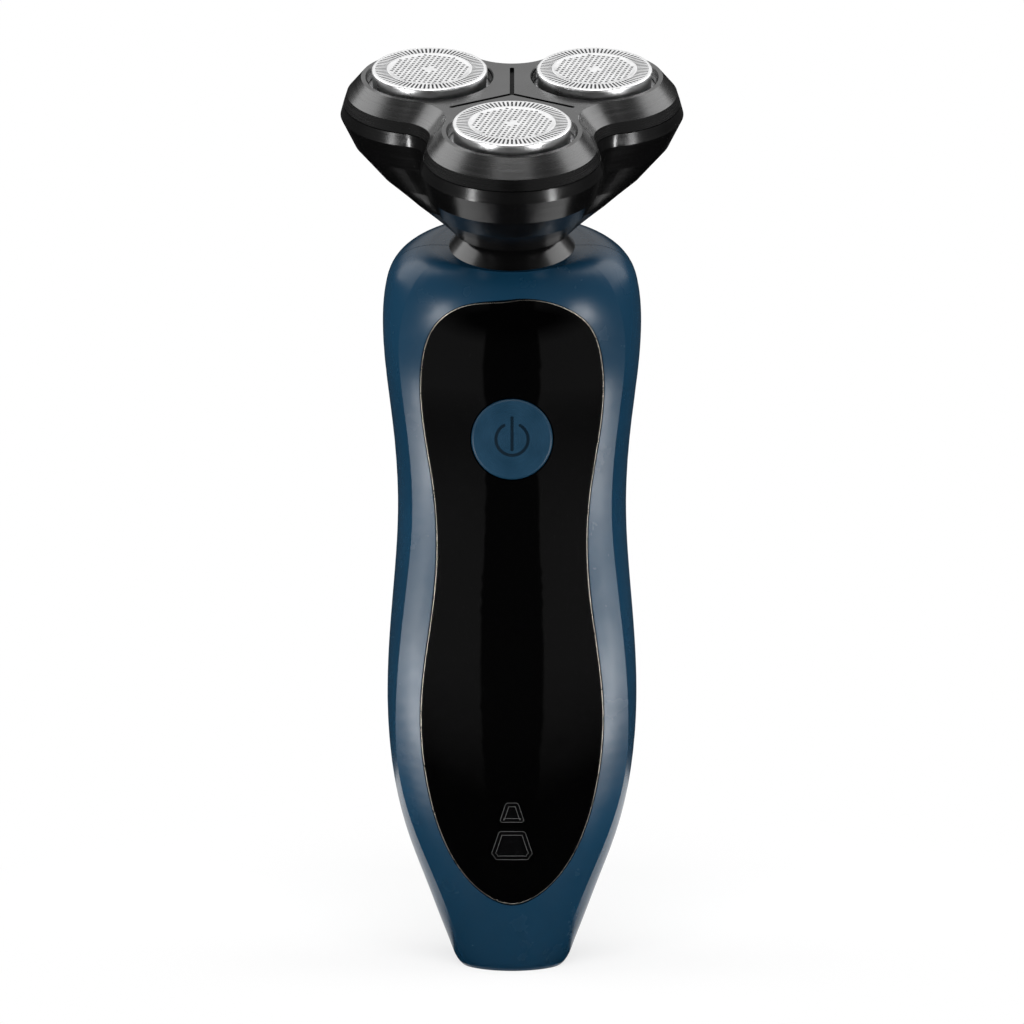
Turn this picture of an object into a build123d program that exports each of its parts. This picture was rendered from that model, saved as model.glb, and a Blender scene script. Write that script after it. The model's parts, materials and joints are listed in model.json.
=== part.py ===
from build123d import *
from collections import namedtuple
from math import acos, atan2, cos, degrees, pi, radians, sin, tan
import os

os.makedirs("parts", exist_ok=True)

# A rotary shaver with three cutters, standing upright on its foot.
# Millimetres, +Z up the handle, -Y towards the front panel, +X to the right seen from the front.
# A depth is counted down the tilted neck axis from the top face of the head.

# Neck and head placing
NECK_TILT = 20.0
NECK_HEIGHT = 132.9
HEAD_HEIGHT = 29.5

# Gears set how far the cutters sit from the head axis
GEAR_MODULE = 0.8
SUN_TEETH = 26
PLANET_TEETH = 17
PRESSURE_ANGLE = radians(20.0)
TOOTH_BACKLASH = 0.14
TOOTH_RISE = 0.95
TOOTH_FALL = 1.25
CUTTER_CIRCLE = GEAR_MODULE * (SUN_TEETH + PLANET_TEETH) / 2
LOBES = {"front": -90.0, "right": 30.0, "left": 150.0}

# A length that passes out of the handle from anywhere inside it, and a short run past a wall
REACH = 60.0
RUN_PAST = 1.0
FRONTWARD = (0, -1, 0)

# Fits
RUNNING_FIT = 0.05
LOOSE_FIT = 0.10
SEAM_GAP = 0.15

# Shaving caps
CAP_RADIUS = 10.3
CAP_PROUD = 1.5
CAP_WALL = 0.45
FOIL_THICKNESS = 0.35
FOIL_RIM = 0.15
FLANGE_OVERLAP = 0.75
FLANGE_THICKNESS = 0.6
FLANGE_GAP = 0.2
CAP_FLOAT = 1.5
SLOT_COUNT = 40
SLOT_LENGTH = 2.0
SLOT_WIDTH = 0.34
SLOT_RIM = 0.75
HOLE_PITCH = 1.75
HOLE_SIDE = 0.8
HOLE_FIELD_GAP = 0.55

# Head shell
OPENING_GAP = 0.95
OPENING_BEVEL = 0.35
TOP_RIM = 1.15
COVER_ROOF = 2.0
HEAD_WALL = 1.6
RIDGE_DEPTH = 3.1
SEAM_DEPTH = 5.0
WIDEST_DEPTH = 7.2
LIP_DEPTH = 26.0
LIP_RADIUS = 10.7
LIP_WALL = 0.7
COVER_LIP_HEIGHT = 1.2
COVER_LIP_WALL = 0.9
GROOVE_LENGTH = 12.8
GROOVE_WIDTH = 0.8
GROOVE_DEPTH = 0.5

# Stack of the drive train, as depths
BLADE_GAP = 0.12
CUTTER_DISC_DEPTH = 1.0
CUTTER_DISC_THICKNESS = 0.5
HUB_END_DEPTH = 4.8
SOCKET_END_DEPTH = 1.6
SHAFT_TIP_DEPTH = 3.3
FRAME_CLEARANCE = 0.5
FRAME_THICKNESS = 1.2
KNOB_HEIGHT = 3.2
SPRING_SEAT_DEPTH = 9.0
SPRING_SEAT_THICKNESS = 0.7
GEAR_COVER_DEPTH = 10.0
GEAR_COVER_THICKNESS = 1.2
GEAR_DEPTH = 11.6
GEAR_WIDTH = 3.0
DECK_DEPTH = 15.2
DECK_THICKNESS = 1.6
DECK_SKIN = 0.4
BEARING_END_DEPTH = 19.0
PIVOT_DEPTH = 22.3

# Drive train radii
BLADE_COUNT = 12
BLADE_LENGTH = 2.6
BLADE_THICKNESS = 0.35
BLADE_LEAN = radians(25.0)
BLADE_TRIM = 0.1
CUTTER_WINDOW_CIRCLE = 4.6
CUTTER_WINDOWS = 6
CUTTER_WINDOW_RADIUS = 1.2
CUTTER_WALL_GAP = 0.45
HUB_RADIUS = 2.7
HUB_BOSS_RADIUS = 1.5
TIP_RADIUS = 1.3
TIP_FIT = 0.13
DRIVE_SHAFT_RADIUS = 1.5
SHAFT_PIN_RADIUS = 1.2
SUN_STEM_RADIUS = 2.0
BEARING_WALL = 2.0
SPRING_SEAT_RADIUS = 2.7
SPRING_RADIUS = 2.05
SPRING_WIRE = 0.4
SPRING_WIRE_SIDES = 4
SPRING_TURNS = 3
FRAME_RING_INNER = 5.2
FRAME_RING_WIDTH = 3.2
FRAME_ARM_WIDTH = 3.0
KNOB_RADIUS = 4.2
KNOB_SCALLOP = 1.0
KNOB_SCALLOPS = 6
COVER_BOSS_RADIUS = 3.2
KNOB_SCREW_RADIUS = 1.3
POST_CIRCLE = 13.4
POST_ANGLE = 90.0
POST_RADIUS = 1.6
PLATE_SCREW_RADIUS = 0.7
PLATE_SCREW_GRIP = 3.4
PLATE_HEAD_RADIUS = 1.5
PLATE_HEAD_HEIGHT = 0.6
GEAR_COVER_GAP = 0.3
GEAR_BOSS_RADIUS = 2.8

# Floating joint between head and neck
TILT_PIN_RADIUS = 0.9
NECK_POST_RADIUS = 5.2
NECK_BORE = 3.3
NECK_POST_RISE = 2.3
STEM_GAP = 0.4
STEM_TAPER_GAP = 0.5
SWIVEL_INNER = 6.2
SWIVEL_OUTER = 7.8
SWIVEL_HEIGHT = 3.0
ROLL_LUG_WIDTH = 4.2
ROLL_LUG_DROP = 2.0
ROLL_LUG_GAP = 0.4
ROLL_PIN_REACH = 2.4
COUPLING_RADIUS = 2.9
COUPLING_BORE = 1.8
COUPLING_TOP_DEPTH = 21.0
COUPLING_END_DEPTH = 26.0
BALL_RADIUS = 1.55
BALL_CLEARANCE = 0.35
COUPLING_FLOOR = 0.5
STEM_NECK_RADIUS = 1.0
CROSS_PIN_RADIUS = 0.45
CROSS_PIN_LENGTH = 4.8
CROSS_SLOT_FIT = 0.12

# Neck collar and motor
COLLAR_RIM_RADIUS = 11.45
COLLAR_TOP_RADIUS = 8.3
SPIGOT_RADIUS = 9.9
SPIGOT_LENGTH = 3.9
ROOF_THICKNESS = 4.0
SEAL_RADIUS = 4.2
SEAL_THICKNESS = 2.4
NECK_RING_WIRE = 0.8
NECK_RING_SIDES = 8
BRACKET_RADIUS = 12.0
BRACKET_THICKNESS = 2.5
MOTOR_RADIUS = 10.2
MOTOR_FLAT = 7.7
MOTOR_LENGTH = 21.0
MOTOR_CAP_LENGTH = 2.0
MOTOR_BOSS_RADIUS = 3.0
MOTOR_BOSS_HEIGHT = 1.6
MOTOR_SHAFT_RADIUS = 1.0
BRACKET_SCREW_CIRCLE = 7.0
COLLAR_SCREW_ANGLE = 90.0
SMALL_SCREW_RADIUS = 0.8
SMALL_HEAD_RADIUS = 1.7
SMALL_HEAD_HEIGHT = 1.4
MOTOR_SCREW_GRIP = 2.5

# Handle walls and front panel
HANDLE_WALL = 2.4
PANEL_THICKNESS = 1.3
PANEL_GAP = 0.2
INSET_AT_CREASE = 0.75
PANEL_TOP = NECK_HEIGHT - 9.1
PANEL_BOTTOM = 13.0
PANEL_EDGE = 0.3
PANEL_SIDE = [
    (8.6, PANEL_TOP - 1.0),
    (13.8, PANEL_TOP - 4.6),
    (16.4, PANEL_TOP - 12.4),
    (14.1, PANEL_TOP - 36.0),
    (14.2, 70.0),
    (16.6, 49.7),
    (15.2, 33.6),
    (11.4, 22.4),
    (6.4, 15.9),
]

# Power button and what it presses
BUTTON_HEIGHT = NECK_HEIGHT - 34.2
BUTTON_RADIUS = 7.35
BUTTON_GAP = 0.25
BUTTON_PROUD = 0.1
BUTTON_FLANGE_WIDTH = 1.25
BUTTON_FLANGE_RADIUS = BUTTON_RADIUS + BUTTON_FLANGE_WIDTH
BUTTON_FLANGE_THICKNESS = 1.0
BUTTON_FLANGE_GAP = 0.25
BUTTON_EDGE = 0.5
MEMBRANE_BORDER = 1.4
MEMBRANE_RADIUS = BUTTON_FLANGE_RADIUS + MEMBRANE_BORDER
MEMBRANE_WALL = 0.7
MEMBRANE_GAP = 0.4
SWITCH_SIDE = 6.0
SWITCH_HEIGHT = 0.9
SWITCH_STEM_RADIUS = 1.6
SWITCH_STEM_HEIGHT = 0.3
SWITCH_GAP = 0.25

# Circuit board, chassis and battery; the board faces the panel
BOARD_PLACE = -5.0
BOARD_THICKNESS = 1.6
BOARD_HALF_WIDTH = 8.0
BOARD_BOTTOM = 20.0
BOARD_TOP = NECK_HEIGHT - 23.0
CHASSIS_THICKNESS = 2.0
CHASSIS_BOTTOM = 22.0
CHASSIS_TOP = NECK_HEIGHT - 39.0
BATTERY_RADIUS = 7.1
BATTERY_LENGTH = 49.0
BATTERY_BOTTOM = 37.6
BATTERY_FIT = 0.3
RAIL_THICKNESS = 1.4
RAIL_HEIGHT = 9.0
TAB_THICKNESS = 0.3
TAB_WIDTH = 5.0
TAB_LENGTH = 8.0
SCREW_SEAT = -6.0
SCREW_GRIP = 7.0
SCREW_RADIUS = 0.9
SCREW_HEAD_RADIUS = 1.7
SCREW_HEAD_HEIGHT = 1.4
BOSS_RADIUS = 2.4
BOSS_GAP = 0.4
CRADLE_HALF = BATTERY_RADIUS + BATTERY_FIT
UPPER_SCREWS = (CRADLE_HALF + RAIL_THICKNESS + BOSS_GAP + BOSS_RADIUS, NECK_HEIGHT - 52.9)
LOWER_SCREWS = (BOARD_HALF_WIDTH + BOSS_RADIUS + BOSS_GAP, 26.0)

# Indicator lenses: middle above the foot, foot width, height and cut-off foot corners of each window
UPPER_LENS = (30.4, 4.8, 3.8, 0.5)
LOWER_LENS = (24.2, 8.4, 5.5, 1.3)
LENS_BACK = -7.5
LENS_SIDE_ANGLE = 72.0
LENS_CORNER = 0.7
LED_SIDE = 2.0
LED_HEIGHT = 0.8

# Charging socket in the foot
FOOT_FLOOR = 4.0
SOCKET_Y = 0.0
SOCKET_LONG = 8.94
SOCKET_SHORT = 3.2
SOCKET_WALL = 0.3
SOCKET_BACK = 0.9
SOCKET_CORNER = 1.5
TONGUE_RECESS = 1.5
SOCKET_RECESS = 0.6
SOCKET_LENGTH = 7.3
TONGUE_LONG = 6.7
TONGUE_SHORT = 0.7
CHARGE_BOARD_THICKNESS = 1.2
CHARGE_BOARD_HALF_WIDTH = 6.0
CHARGE_BOARD_FRONT = -5.0
CHARGE_BOARD_REAR = 7.4
CHARGE_POST_RADIUS = 1.2
CHARGE_POSTS = [(-4.5, -3.5), (4.5, -3.5), (-4.5, 6.0), (4.5, 6.0)]

# Planes and axes of the tilted neck
LEAN = radians(NECK_TILT)
NECK_DIRECTION = Vector(0, -sin(LEAN), cos(LEAN))
NECK_MOUTH = Vector(0, 0, NECK_HEIGHT)
HEAD_TOP = Plane(origin=NECK_MOUTH + NECK_DIRECTION * HEAD_HEIGHT, x_dir=(1, 0, 0), z_dir=NECK_DIRECTION)
HEAD_SIDE = Plane(origin=HEAD_TOP.origin, x_dir=(1, 0, 0), z_dir=-HEAD_TOP.y_dir)
HEAD_AXIS = Axis(HEAD_TOP.origin, NECK_DIRECTION)


def head_level(depth):
    """Plane across the neck axis at a depth below the top face of the head."""
    return HEAD_TOP.offset(-depth)


PIVOT = head_level(PIVOT_DEPTH).origin
PITCH_PLANE = Plane(origin=PIVOT, x_dir=HEAD_TOP.y_dir, z_dir=(1, 0, 0))
ROLL_PLANE = Plane(origin=PIVOT, x_dir=(1, 0, 0), z_dir=HEAD_TOP.y_dir)


def cutter_seat(lobe):
    """Location of one cutter axis on the top face of the head."""
    angle = radians(LOBES[lobe])
    return HEAD_TOP.location * Pos(CUTTER_CIRCLE * cos(angle), CUTTER_CIRCLE * sin(angle), 0)


def ray(angle, length):
    """Point at an angle in degrees and a distance from the sketch origin."""
    return Vector(length * cos(radians(angle)), length * sin(radians(angle)))


def turned(*profile):
    """Half section in a plane through the neck axis, given as (radius, depth) corners."""
    with BuildSketch(HEAD_SIDE) as section:
        with BuildLine():
            Polyline(*[(radius, -depth) for radius, depth in profile], close=True)
        make_face()
    return section.sketch


def write(part, name):
    """Label a finished piece and write its file."""
    part.label = name
    export_step(part, f"parts/{name}.step")


# Head outlines: three lobes joined by hollow arcs, at a list of depths
Outline = namedtuple("Outline", "depth centre lobe valley")
CAP_OPENING = CAP_RADIUS + OPENING_GAP
TOP_LOBE = CAP_OPENING + TOP_RIM
HEAD_OUTLINES = [
    Outline(0.0, CUTTER_CIRCLE, TOP_LOBE, TOP_LOBE + 2.4),
    Outline(RIDGE_DEPTH, CUTTER_CIRCLE, TOP_LOBE + 2.6, TOP_LOBE + 5.4),
    Outline(SEAM_DEPTH, CUTTER_CIRCLE, TOP_LOBE + 3.2, TOP_LOBE + 5.9),
    Outline(WIDEST_DEPTH, CUTTER_CIRCLE, TOP_LOBE + 3.8, TOP_LOBE + 6.2),
    Outline(12.0, CUTTER_CIRCLE - 1.7, TOP_LOBE + 2.8, TOP_LOBE + 5.0),
    Outline(17.0, CUTTER_CIRCLE - 5.2, TOP_LOBE + 0.9, TOP_LOBE + 3.4),
    Outline(21.0, CUTTER_CIRCLE - 10.2, TOP_LOBE - 0.5, TOP_LOBE + 1.8),
    Outline(LIP_DEPTH, 0.0, LIP_RADIUS, LIP_RADIUS),
]
ROUND_SPLIT = 52.0


def outline_at(depth):
    """Head outline at any depth, between the two listed ones around it."""
    for above, below in zip(HEAD_OUTLINES, HEAD_OUTLINES[1:]):
        if depth <= below.depth:
            break
    share = (depth - above.depth) / (below.depth - above.depth)
    return Outline(*[a + (b - a) * share for a, b in zip(above, below)])


def trefoil(outline, inset=0.0):
    """Face inside one head outline, moved in by a wall."""
    lobe = outline.lobe - inset
    valley = outline.valley - inset
    centre = outline.centre
    with BuildSketch(head_level(outline.depth)) as face:
        with BuildLine():
            for angle in LOBES.values():
                if centre > 0:
                    excess = lobe**2 - valley**2 - centre**2 + valley * centre
                    blend = excess / (2 * valley - centre - 2 * lobe)
                    share = lobe / (lobe + blend)
                    middle = ray(angle, centre)
                    before = middle + (ray(angle - 60, valley + blend) - middle) * share
                    after = middle + (ray(angle + 60, valley + blend) - middle) * share
                    following = ray(angle + 120, centre)
                    onward = following + (ray(angle + 60, valley + blend) - following) * share
                else:
                    before = ray(angle - ROUND_SPLIT, lobe)
                    after = ray(angle + ROUND_SPLIT, lobe)
                    onward = ray(angle + 120 - ROUND_SPLIT, lobe)
                ThreePointArc(before, ray(angle, centre + lobe), after)
                ThreePointArc(after, ray(angle + 60, valley), onward)
        make_face()
    return face.sketch


# Handle sections: a spine point, the lean of the section and its half sizes
Station = namedtuple("Station", "y z tilt half_width front rear crease crease_front")


def shoulder(depth, half_width, front, rear, crease, crease_front):
    """Handle section square to the neck axis."""
    centre = HEAD_TOP.origin - NECK_DIRECTION * depth
    return Station(centre.Y, centre.Z, NECK_TILT, half_width, front, rear, crease, crease_front)


BUTTON_STATION = Station(4.6, NECK_HEIGHT - 32.9, 3.0, 21.9, 16.8, 17.2, 19.0, 11.8)
FOOT_STATIONS = [
    Station(0.2, 0.0, 0.0, 9.3, 7.9, 11.0, 7.4, 4.8),
    Station(0.4, 1.2, 0.0, 10.3, 8.7, 11.6, 8.2, 5.2),
]
GRIP_STATIONS = [
    Station(0.8, 4.0, 0.0, 11.5, 9.8, 12.4, 9.3, 5.8),
    Station(1.4, 8.0, 0.0, 13.1, 11.2, 13.3, 10.8, 6.6),
    Station(2.0, 14.0, 0.0, 15.4, 12.7, 14.6, 13.1, 7.4),
    Station(2.8, 24.0, 0.0, 19.2, 14.6, 16.4, 17.2, 8.6),
    Station(3.6, 36.0, 0.0, 22.0, 16.2, 17.4, 20.6, 10.0),
    Station(4.1, 49.0, 0.0, 23.0, 16.8, 17.8, 21.2, 11.2),
    Station(4.5, 66.0, 0.0, 22.2, 16.8, 17.2, 19.8, 11.9),
    Station(4.6, NECK_HEIGHT - 48.9, 0.0, 21.0, 16.6, 16.8, 18.1, 12.0),
    BUTTON_STATION,
    Station(4.2, NECK_HEIGHT - 20.9, 9.0, 23.3, 16.8, 18.5, 20.3, 11.2),
    shoulder(HEAD_HEIGHT + 8.5, 23.2, 16.3, 19.5, 19.6, 9.8),
    shoulder(HEAD_HEIGHT + ROOF_THICKNESS, 21.8, 15.2, 18.5, 17.8, 8.8),
]
TOP_STATIONS = [
    shoulder(HEAD_HEIGHT + 1.5, 19.5, 13.6, 16.5, 15.8, 8.0),
    shoulder(HEAD_HEIGHT, 14.0, 12.2, 13.2, 11.3, 7.2),
]


def handle_section(station, inset=0.0):
    """Face across the handle: curved front between two creases, swelling sides, round back."""
    lean = radians(station.tilt)
    half_width = station.half_width - inset
    front = station.front - inset
    rear = station.rear - inset
    crease = station.crease - inset * INSET_AT_CREASE
    crease_front = station.crease_front - inset * INSET_AT_CREASE
    side_radius = ((half_width - crease) ** 2 + crease_front**2) / (2 * (half_width - crease))
    side_centre = half_width - side_radius
    swing = atan2(crease_front, crease - side_centre) / 2
    side_x = side_centre + side_radius * cos(swing)
    side_y = -side_radius * sin(swing)
    plane = Plane(origin=(0, station.y, station.z), x_dir=(1, 0, 0), z_dir=(0, -sin(lean), cos(lean)))
    with BuildSketch(plane) as face:
        with BuildLine():
            ThreePointArc((-crease, -crease_front), (0, -front), (crease, -crease_front))
            ThreePointArc((crease, -crease_front), (side_x, side_y), (half_width, 0))
            EllipticalCenterArc((0, 0), half_width, rear, start_angle=0, arc_size=180)
            ThreePointArc((-half_width, 0), (-side_x, side_y), (-crease, -crease_front))
        make_face()
    return face.sketch


def handle_solid(stations, inset=0.0):
    """Solid through a list of handle sections."""
    with BuildPart() as solid:
        for station in stations:
            add(handle_section(station, inset))
        loft()
    return solid.part


handle_outside = handle_solid(FOOT_STATIONS + GRIP_STATIONS + TOP_STATIONS)
panel_bed = handle_solid(GRIP_STATIONS, PANEL_THICKNESS)
handle_cavity = handle_solid(GRIP_STATIONS, HANDLE_WALL)

# The region in front of the spine parts the front housing from the rear one
with BuildPart() as front_region:
    with BuildSketch(Plane.YZ):
        with BuildLine():
            spine_points = [(station.y, station.z) for station in GRIP_STATIONS[1::2]]
            above = HEAD_TOP.origin
            foot = FOOT_STATIONS[0]
            Spline(
                (foot.y, foot.z - RUN_PAST),
                (foot.y, foot.z),
                *spine_points,
                (NECK_MOUTH.Y, NECK_MOUTH.Z),
                (above.Y, above.Z),
            )
            Polyline(
                (above.Y, above.Z),
                (-REACH, above.Z),
                (-REACH, foot.z - RUN_PAST),
                (foot.y, foot.z - RUN_PAST),
            )
        make_face()
    extrude(amount=REACH, both=True)


def panel_outline(gap=0.0):
    """Face of the front panel seen from the front, grown by a gap."""
    with BuildSketch(Plane.XZ) as face:
        with BuildLine():
            right = [(x + gap, z) for x, z in PANEL_SIDE]
            left = [(-x, z) for x, z in reversed(right)]
            Spline((0, PANEL_TOP + gap), *right, (0, PANEL_BOTTOM - gap), *left, periodic=True)
        make_face()
    return face.sketch


def facing(y):
    """Plane at a depth y inside the handle, its normal towards the front."""
    return Plane.XZ.offset(-y)


def window(lens, gap=0.0):
    """Face of one indicator window, wider at the foot, grown by a gap."""
    height, across, tall, cut = lens
    with BuildSketch(Plane.XZ) as face:
        with Locations((0, height)):
            Trapezoid(across + 2 * gap, tall + 2 * gap, LENS_SIDE_ANGLE)
        lower, upper = face.vertices().group_by(Axis.Y)
        chamfer(lower, cut)
        fillet(upper, LENS_CORNER)
    return face.sketch


SCREW_AXES = [(side * x, z) for x, z in (UPPER_SCREWS, LOWER_SCREWS) for side in (-1, 1)]
# Button, membrane and switch one behind the other; the board stands at its place or as far back as they need
BUTTON_FACE = BUTTON_STATION.y - BUTTON_STATION.front - BUTTON_PROUD
FRONT_CURVE = (BUTTON_STATION.crease**2 + (BUTTON_STATION.front - BUTTON_STATION.crease_front) ** 2) / (
    2 * (BUTTON_STATION.front - BUTTON_STATION.crease_front)
)
FLANGE_SAG = BUTTON_FLANGE_RADIUS**2 / (2 * FRONT_CURVE)
FLANGE_FACE = BUTTON_FACE + BUTTON_PROUD + HANDLE_WALL + FLANGE_SAG + BUTTON_FLANGE_GAP
FLANGE_BACK = FLANGE_FACE + BUTTON_FLANGE_THICKNESS
MEMBRANE_TOP = FLANGE_BACK + MEMBRANE_GAP
SWITCH_FRONT = MEMBRANE_TOP + MEMBRANE_WALL + SWITCH_GAP
BOARD_FRONT = max(BOARD_PLACE, SWITCH_FRONT + SWITCH_STEM_HEIGHT + SWITCH_HEIGHT)
CHASSIS_FRONT = BOARD_FRONT + BOARD_THICKNESS
CHASSIS_REAR = CHASSIS_FRONT + CHASSIS_THICKNESS
CHARGE_BOARD_LEVEL = SOCKET_RECESS + SOCKET_LENGTH

# Handle shell before it is parted
with BuildPart() as handle_shell:
    add(handle_outside)
    add(handle_cavity, mode=Mode.SUBTRACT)
    with BuildSketch(head_level(HEAD_HEIGHT)):
        Circle(SPIGOT_RADIUS + LOOSE_FIT)
    extrude(amount=-ROOF_THICKNESS - RUN_PAST, mode=Mode.SUBTRACT)
    with BuildSketch(Plane.XY.offset(FOOT_FLOOR - RUN_PAST)):
        with Locations(*CHARGE_POSTS):
            Circle(CHARGE_POST_RADIUS)
    extrude(amount=CHARGE_BOARD_LEVEL - FOOT_FLOOR + RUN_PAST)
    with BuildSketch(Plane.XY):
        with Locations((0, SOCKET_Y)):
            RectangleRounded(SOCKET_SHORT + 2 * LOOSE_FIT, SOCKET_LONG + 2 * LOOSE_FIT, SOCKET_CORNER)
    extrude(amount=FOOT_FLOOR + RUN_PAST, mode=Mode.SUBTRACT)

# Front housing: pocket for the panel, button hole, window holes and screw bosses
with BuildPart() as front_bosses:
    with BuildSketch(facing(CHASSIS_FRONT)):
        with Locations(*SCREW_AXES):
            Circle(BOSS_RADIUS)
    extrude(amount=REACH)
    add(panel_bed, mode=Mode.INTERSECT)

with BuildPart() as panel_pocket:
    extrude(panel_outline(PANEL_GAP), amount=REACH, dir=FRONTWARD)
    add(panel_bed, mode=Mode.SUBTRACT)

with BuildPart() as front_housing:
    add(handle_shell.part)
    add(front_region.part, mode=Mode.INTERSECT)
    add(front_bosses.part)
    add(panel_pocket.part, mode=Mode.SUBTRACT)
    with BuildSketch(Plane.XZ):
        with Locations((0, BUTTON_HEIGHT)):
            Circle(BUTTON_RADIUS + BUTTON_GAP)
    extrude(amount=REACH, mode=Mode.SUBTRACT)
    for lens in (UPPER_LENS, LOWER_LENS):
        extrude(window(lens, LOOSE_FIT), amount=REACH, dir=FRONTWARD, mode=Mode.SUBTRACT)
    with BuildSketch(facing(CHASSIS_FRONT)):
        with Locations(*SCREW_AXES):
            Circle(SCREW_RADIUS + LOOSE_FIT)
    extrude(amount=REACH, mode=Mode.SUBTRACT)
    with BuildSketch(facing(SCREW_SEAT)):
        with Locations(*SCREW_AXES):
            Circle(SCREW_HEAD_RADIUS + LOOSE_FIT)
    extrude(amount=REACH, mode=Mode.SUBTRACT)
write(front_housing.part, "front_housing")

# Rear housing: round back with four long posts that take the housing screws
with BuildPart() as rear_posts:
    with BuildSketch(facing(CHASSIS_REAR)):
        with Locations(*SCREW_AXES):
            Circle(BOSS_RADIUS)
    extrude(amount=-REACH)
    add(panel_bed, mode=Mode.INTERSECT)

with BuildPart() as rear_housing:
    add(handle_shell.part)
    add(front_region.part.moved(Pos(0, SEAM_GAP, 0)), mode=Mode.SUBTRACT)
    add(rear_posts.part)
    with BuildSketch(facing(CHASSIS_REAR)):
        with Locations(*SCREW_AXES):
            Circle(SCREW_RADIUS)
    extrude(amount=-SCREW_GRIP, mode=Mode.SUBTRACT)
write(rear_housing.part, "rear_housing")

# Housing screws, their heads sunk under the panel
with BuildPart() as housing_screws:
    with BuildSketch(facing(CHASSIS_REAR + SCREW_GRIP)):
        with Locations(*SCREW_AXES):
            Circle(SCREW_RADIUS)
    extrude(amount=CHASSIS_REAR + SCREW_GRIP - SCREW_SEAT)
    with BuildSketch(facing(SCREW_SEAT)):
        with Locations(*SCREW_AXES):
            Circle(SCREW_HEAD_RADIUS)
    extrude(amount=SCREW_HEAD_HEIGHT)
write(housing_screws.part, "housing_screws")

# Front panel: a skin of even thickness lying in the pocket
with BuildPart() as front_panel:
    extrude(panel_outline(), amount=REACH, dir=FRONTWARD)
    add(handle_outside, mode=Mode.INTERSECT)
    add(panel_bed, mode=Mode.SUBTRACT)
    with BuildSketch(Plane.XZ):
        with Locations((0, BUTTON_HEIGHT)):
            Circle(BUTTON_RADIUS + BUTTON_GAP)
    extrude(amount=REACH, mode=Mode.SUBTRACT)
    for lens in (UPPER_LENS, LOWER_LENS):
        extrude(window(lens, LOOSE_FIT), amount=REACH, dir=FRONTWARD, mode=Mode.SUBTRACT)
    long_edges = front_panel.edges().sort_by(SortBy.LENGTH)[-2:]
    fillet(long_edges.sort_by(Axis.Y)[0], PANEL_EDGE)
write(front_panel.part, "front_panel")

# Indicator lenses, flush with the panel
for name, lens in (("upper_indicator_lens", UPPER_LENS), ("lower_indicator_lens", LOWER_LENS)):
    with BuildPart() as indicator_lens:
        extrude(window(lens), amount=REACH, dir=FRONTWARD)
        add(handle_outside, mode=Mode.INTERSECT)
        with BuildSketch(facing(LENS_BACK)):
            with Locations((0, lens[0])):
                Rectangle(REACH, REACH)
        extrude(amount=-REACH, mode=Mode.SUBTRACT)
    write(indicator_lens.part, name)

# Power button with a flange that keeps it behind the wall
with BuildPart() as power_button:
    with BuildSketch(facing(FLANGE_FACE)):
        with Locations((0, BUTTON_HEIGHT)):
            Circle(BUTTON_RADIUS)
    extrude(amount=FLANGE_FACE - BUTTON_FACE)
    fillet(power_button.edges().group_by(Axis.Y)[0], BUTTON_EDGE)
    with BuildSketch(facing(FLANGE_BACK)):
        with Locations((0, BUTTON_HEIGHT)):
            Circle(BUTTON_FLANGE_RADIUS)
    extrude(amount=BUTTON_FLANGE_THICKNESS)
write(power_button.part, "power_button")

# Rubber membrane behind the button, standing on the board
with BuildPart() as button_membrane:
    with BuildSketch(facing(BOARD_FRONT)):
        with Locations((0, BUTTON_HEIGHT)):
            Circle(MEMBRANE_RADIUS)
    extrude(amount=BOARD_FRONT - MEMBRANE_TOP)
    with BuildSketch(facing(BOARD_FRONT)):
        with Locations((0, BUTTON_HEIGHT)):
            Circle(MEMBRANE_RADIUS - MEMBRANE_WALL)
    extrude(amount=BOARD_FRONT - MEMBRANE_TOP - MEMBRANE_WALL, mode=Mode.SUBTRACT)
write(button_membrane.part, "button_membrane")

# Tact switch under the membrane
with BuildPart() as tact_switch:
    with BuildSketch(facing(BOARD_FRONT)):
        with Locations((0, BUTTON_HEIGHT)):
            Rectangle(SWITCH_SIDE, SWITCH_SIDE)
    extrude(amount=SWITCH_HEIGHT)
    with BuildSketch(facing(BOARD_FRONT - SWITCH_HEIGHT)):
        with Locations((0, BUTTON_HEIGHT)):
            Circle(SWITCH_STEM_RADIUS)
    extrude(amount=SWITCH_STEM_HEIGHT)
write(tact_switch.part, "tact_switch")

# Circuit board and the leds behind the lenses
with BuildPart() as circuit_board:
    with BuildSketch(facing(CHASSIS_FRONT)):
        with Locations((0, (BOARD_BOTTOM + BOARD_TOP) / 2)):
            Rectangle(2 * BOARD_HALF_WIDTH, BOARD_TOP - BOARD_BOTTOM)
        with Locations((0, BUTTON_HEIGHT)):
            Circle(MEMBRANE_RADIUS)
    extrude(amount=BOARD_THICKNESS)
write(circuit_board.part, "circuit_board")

with BuildPart() as indicator_leds:
    with BuildSketch(facing(BOARD_FRONT)):
        with Locations((0, UPPER_LENS[0]), (0, LOWER_LENS[0])):
            Rectangle(LED_SIDE, LED_SIDE)
    extrude(amount=LED_HEIGHT)
write(indicator_leds.part, "indicator_leds")

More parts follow.
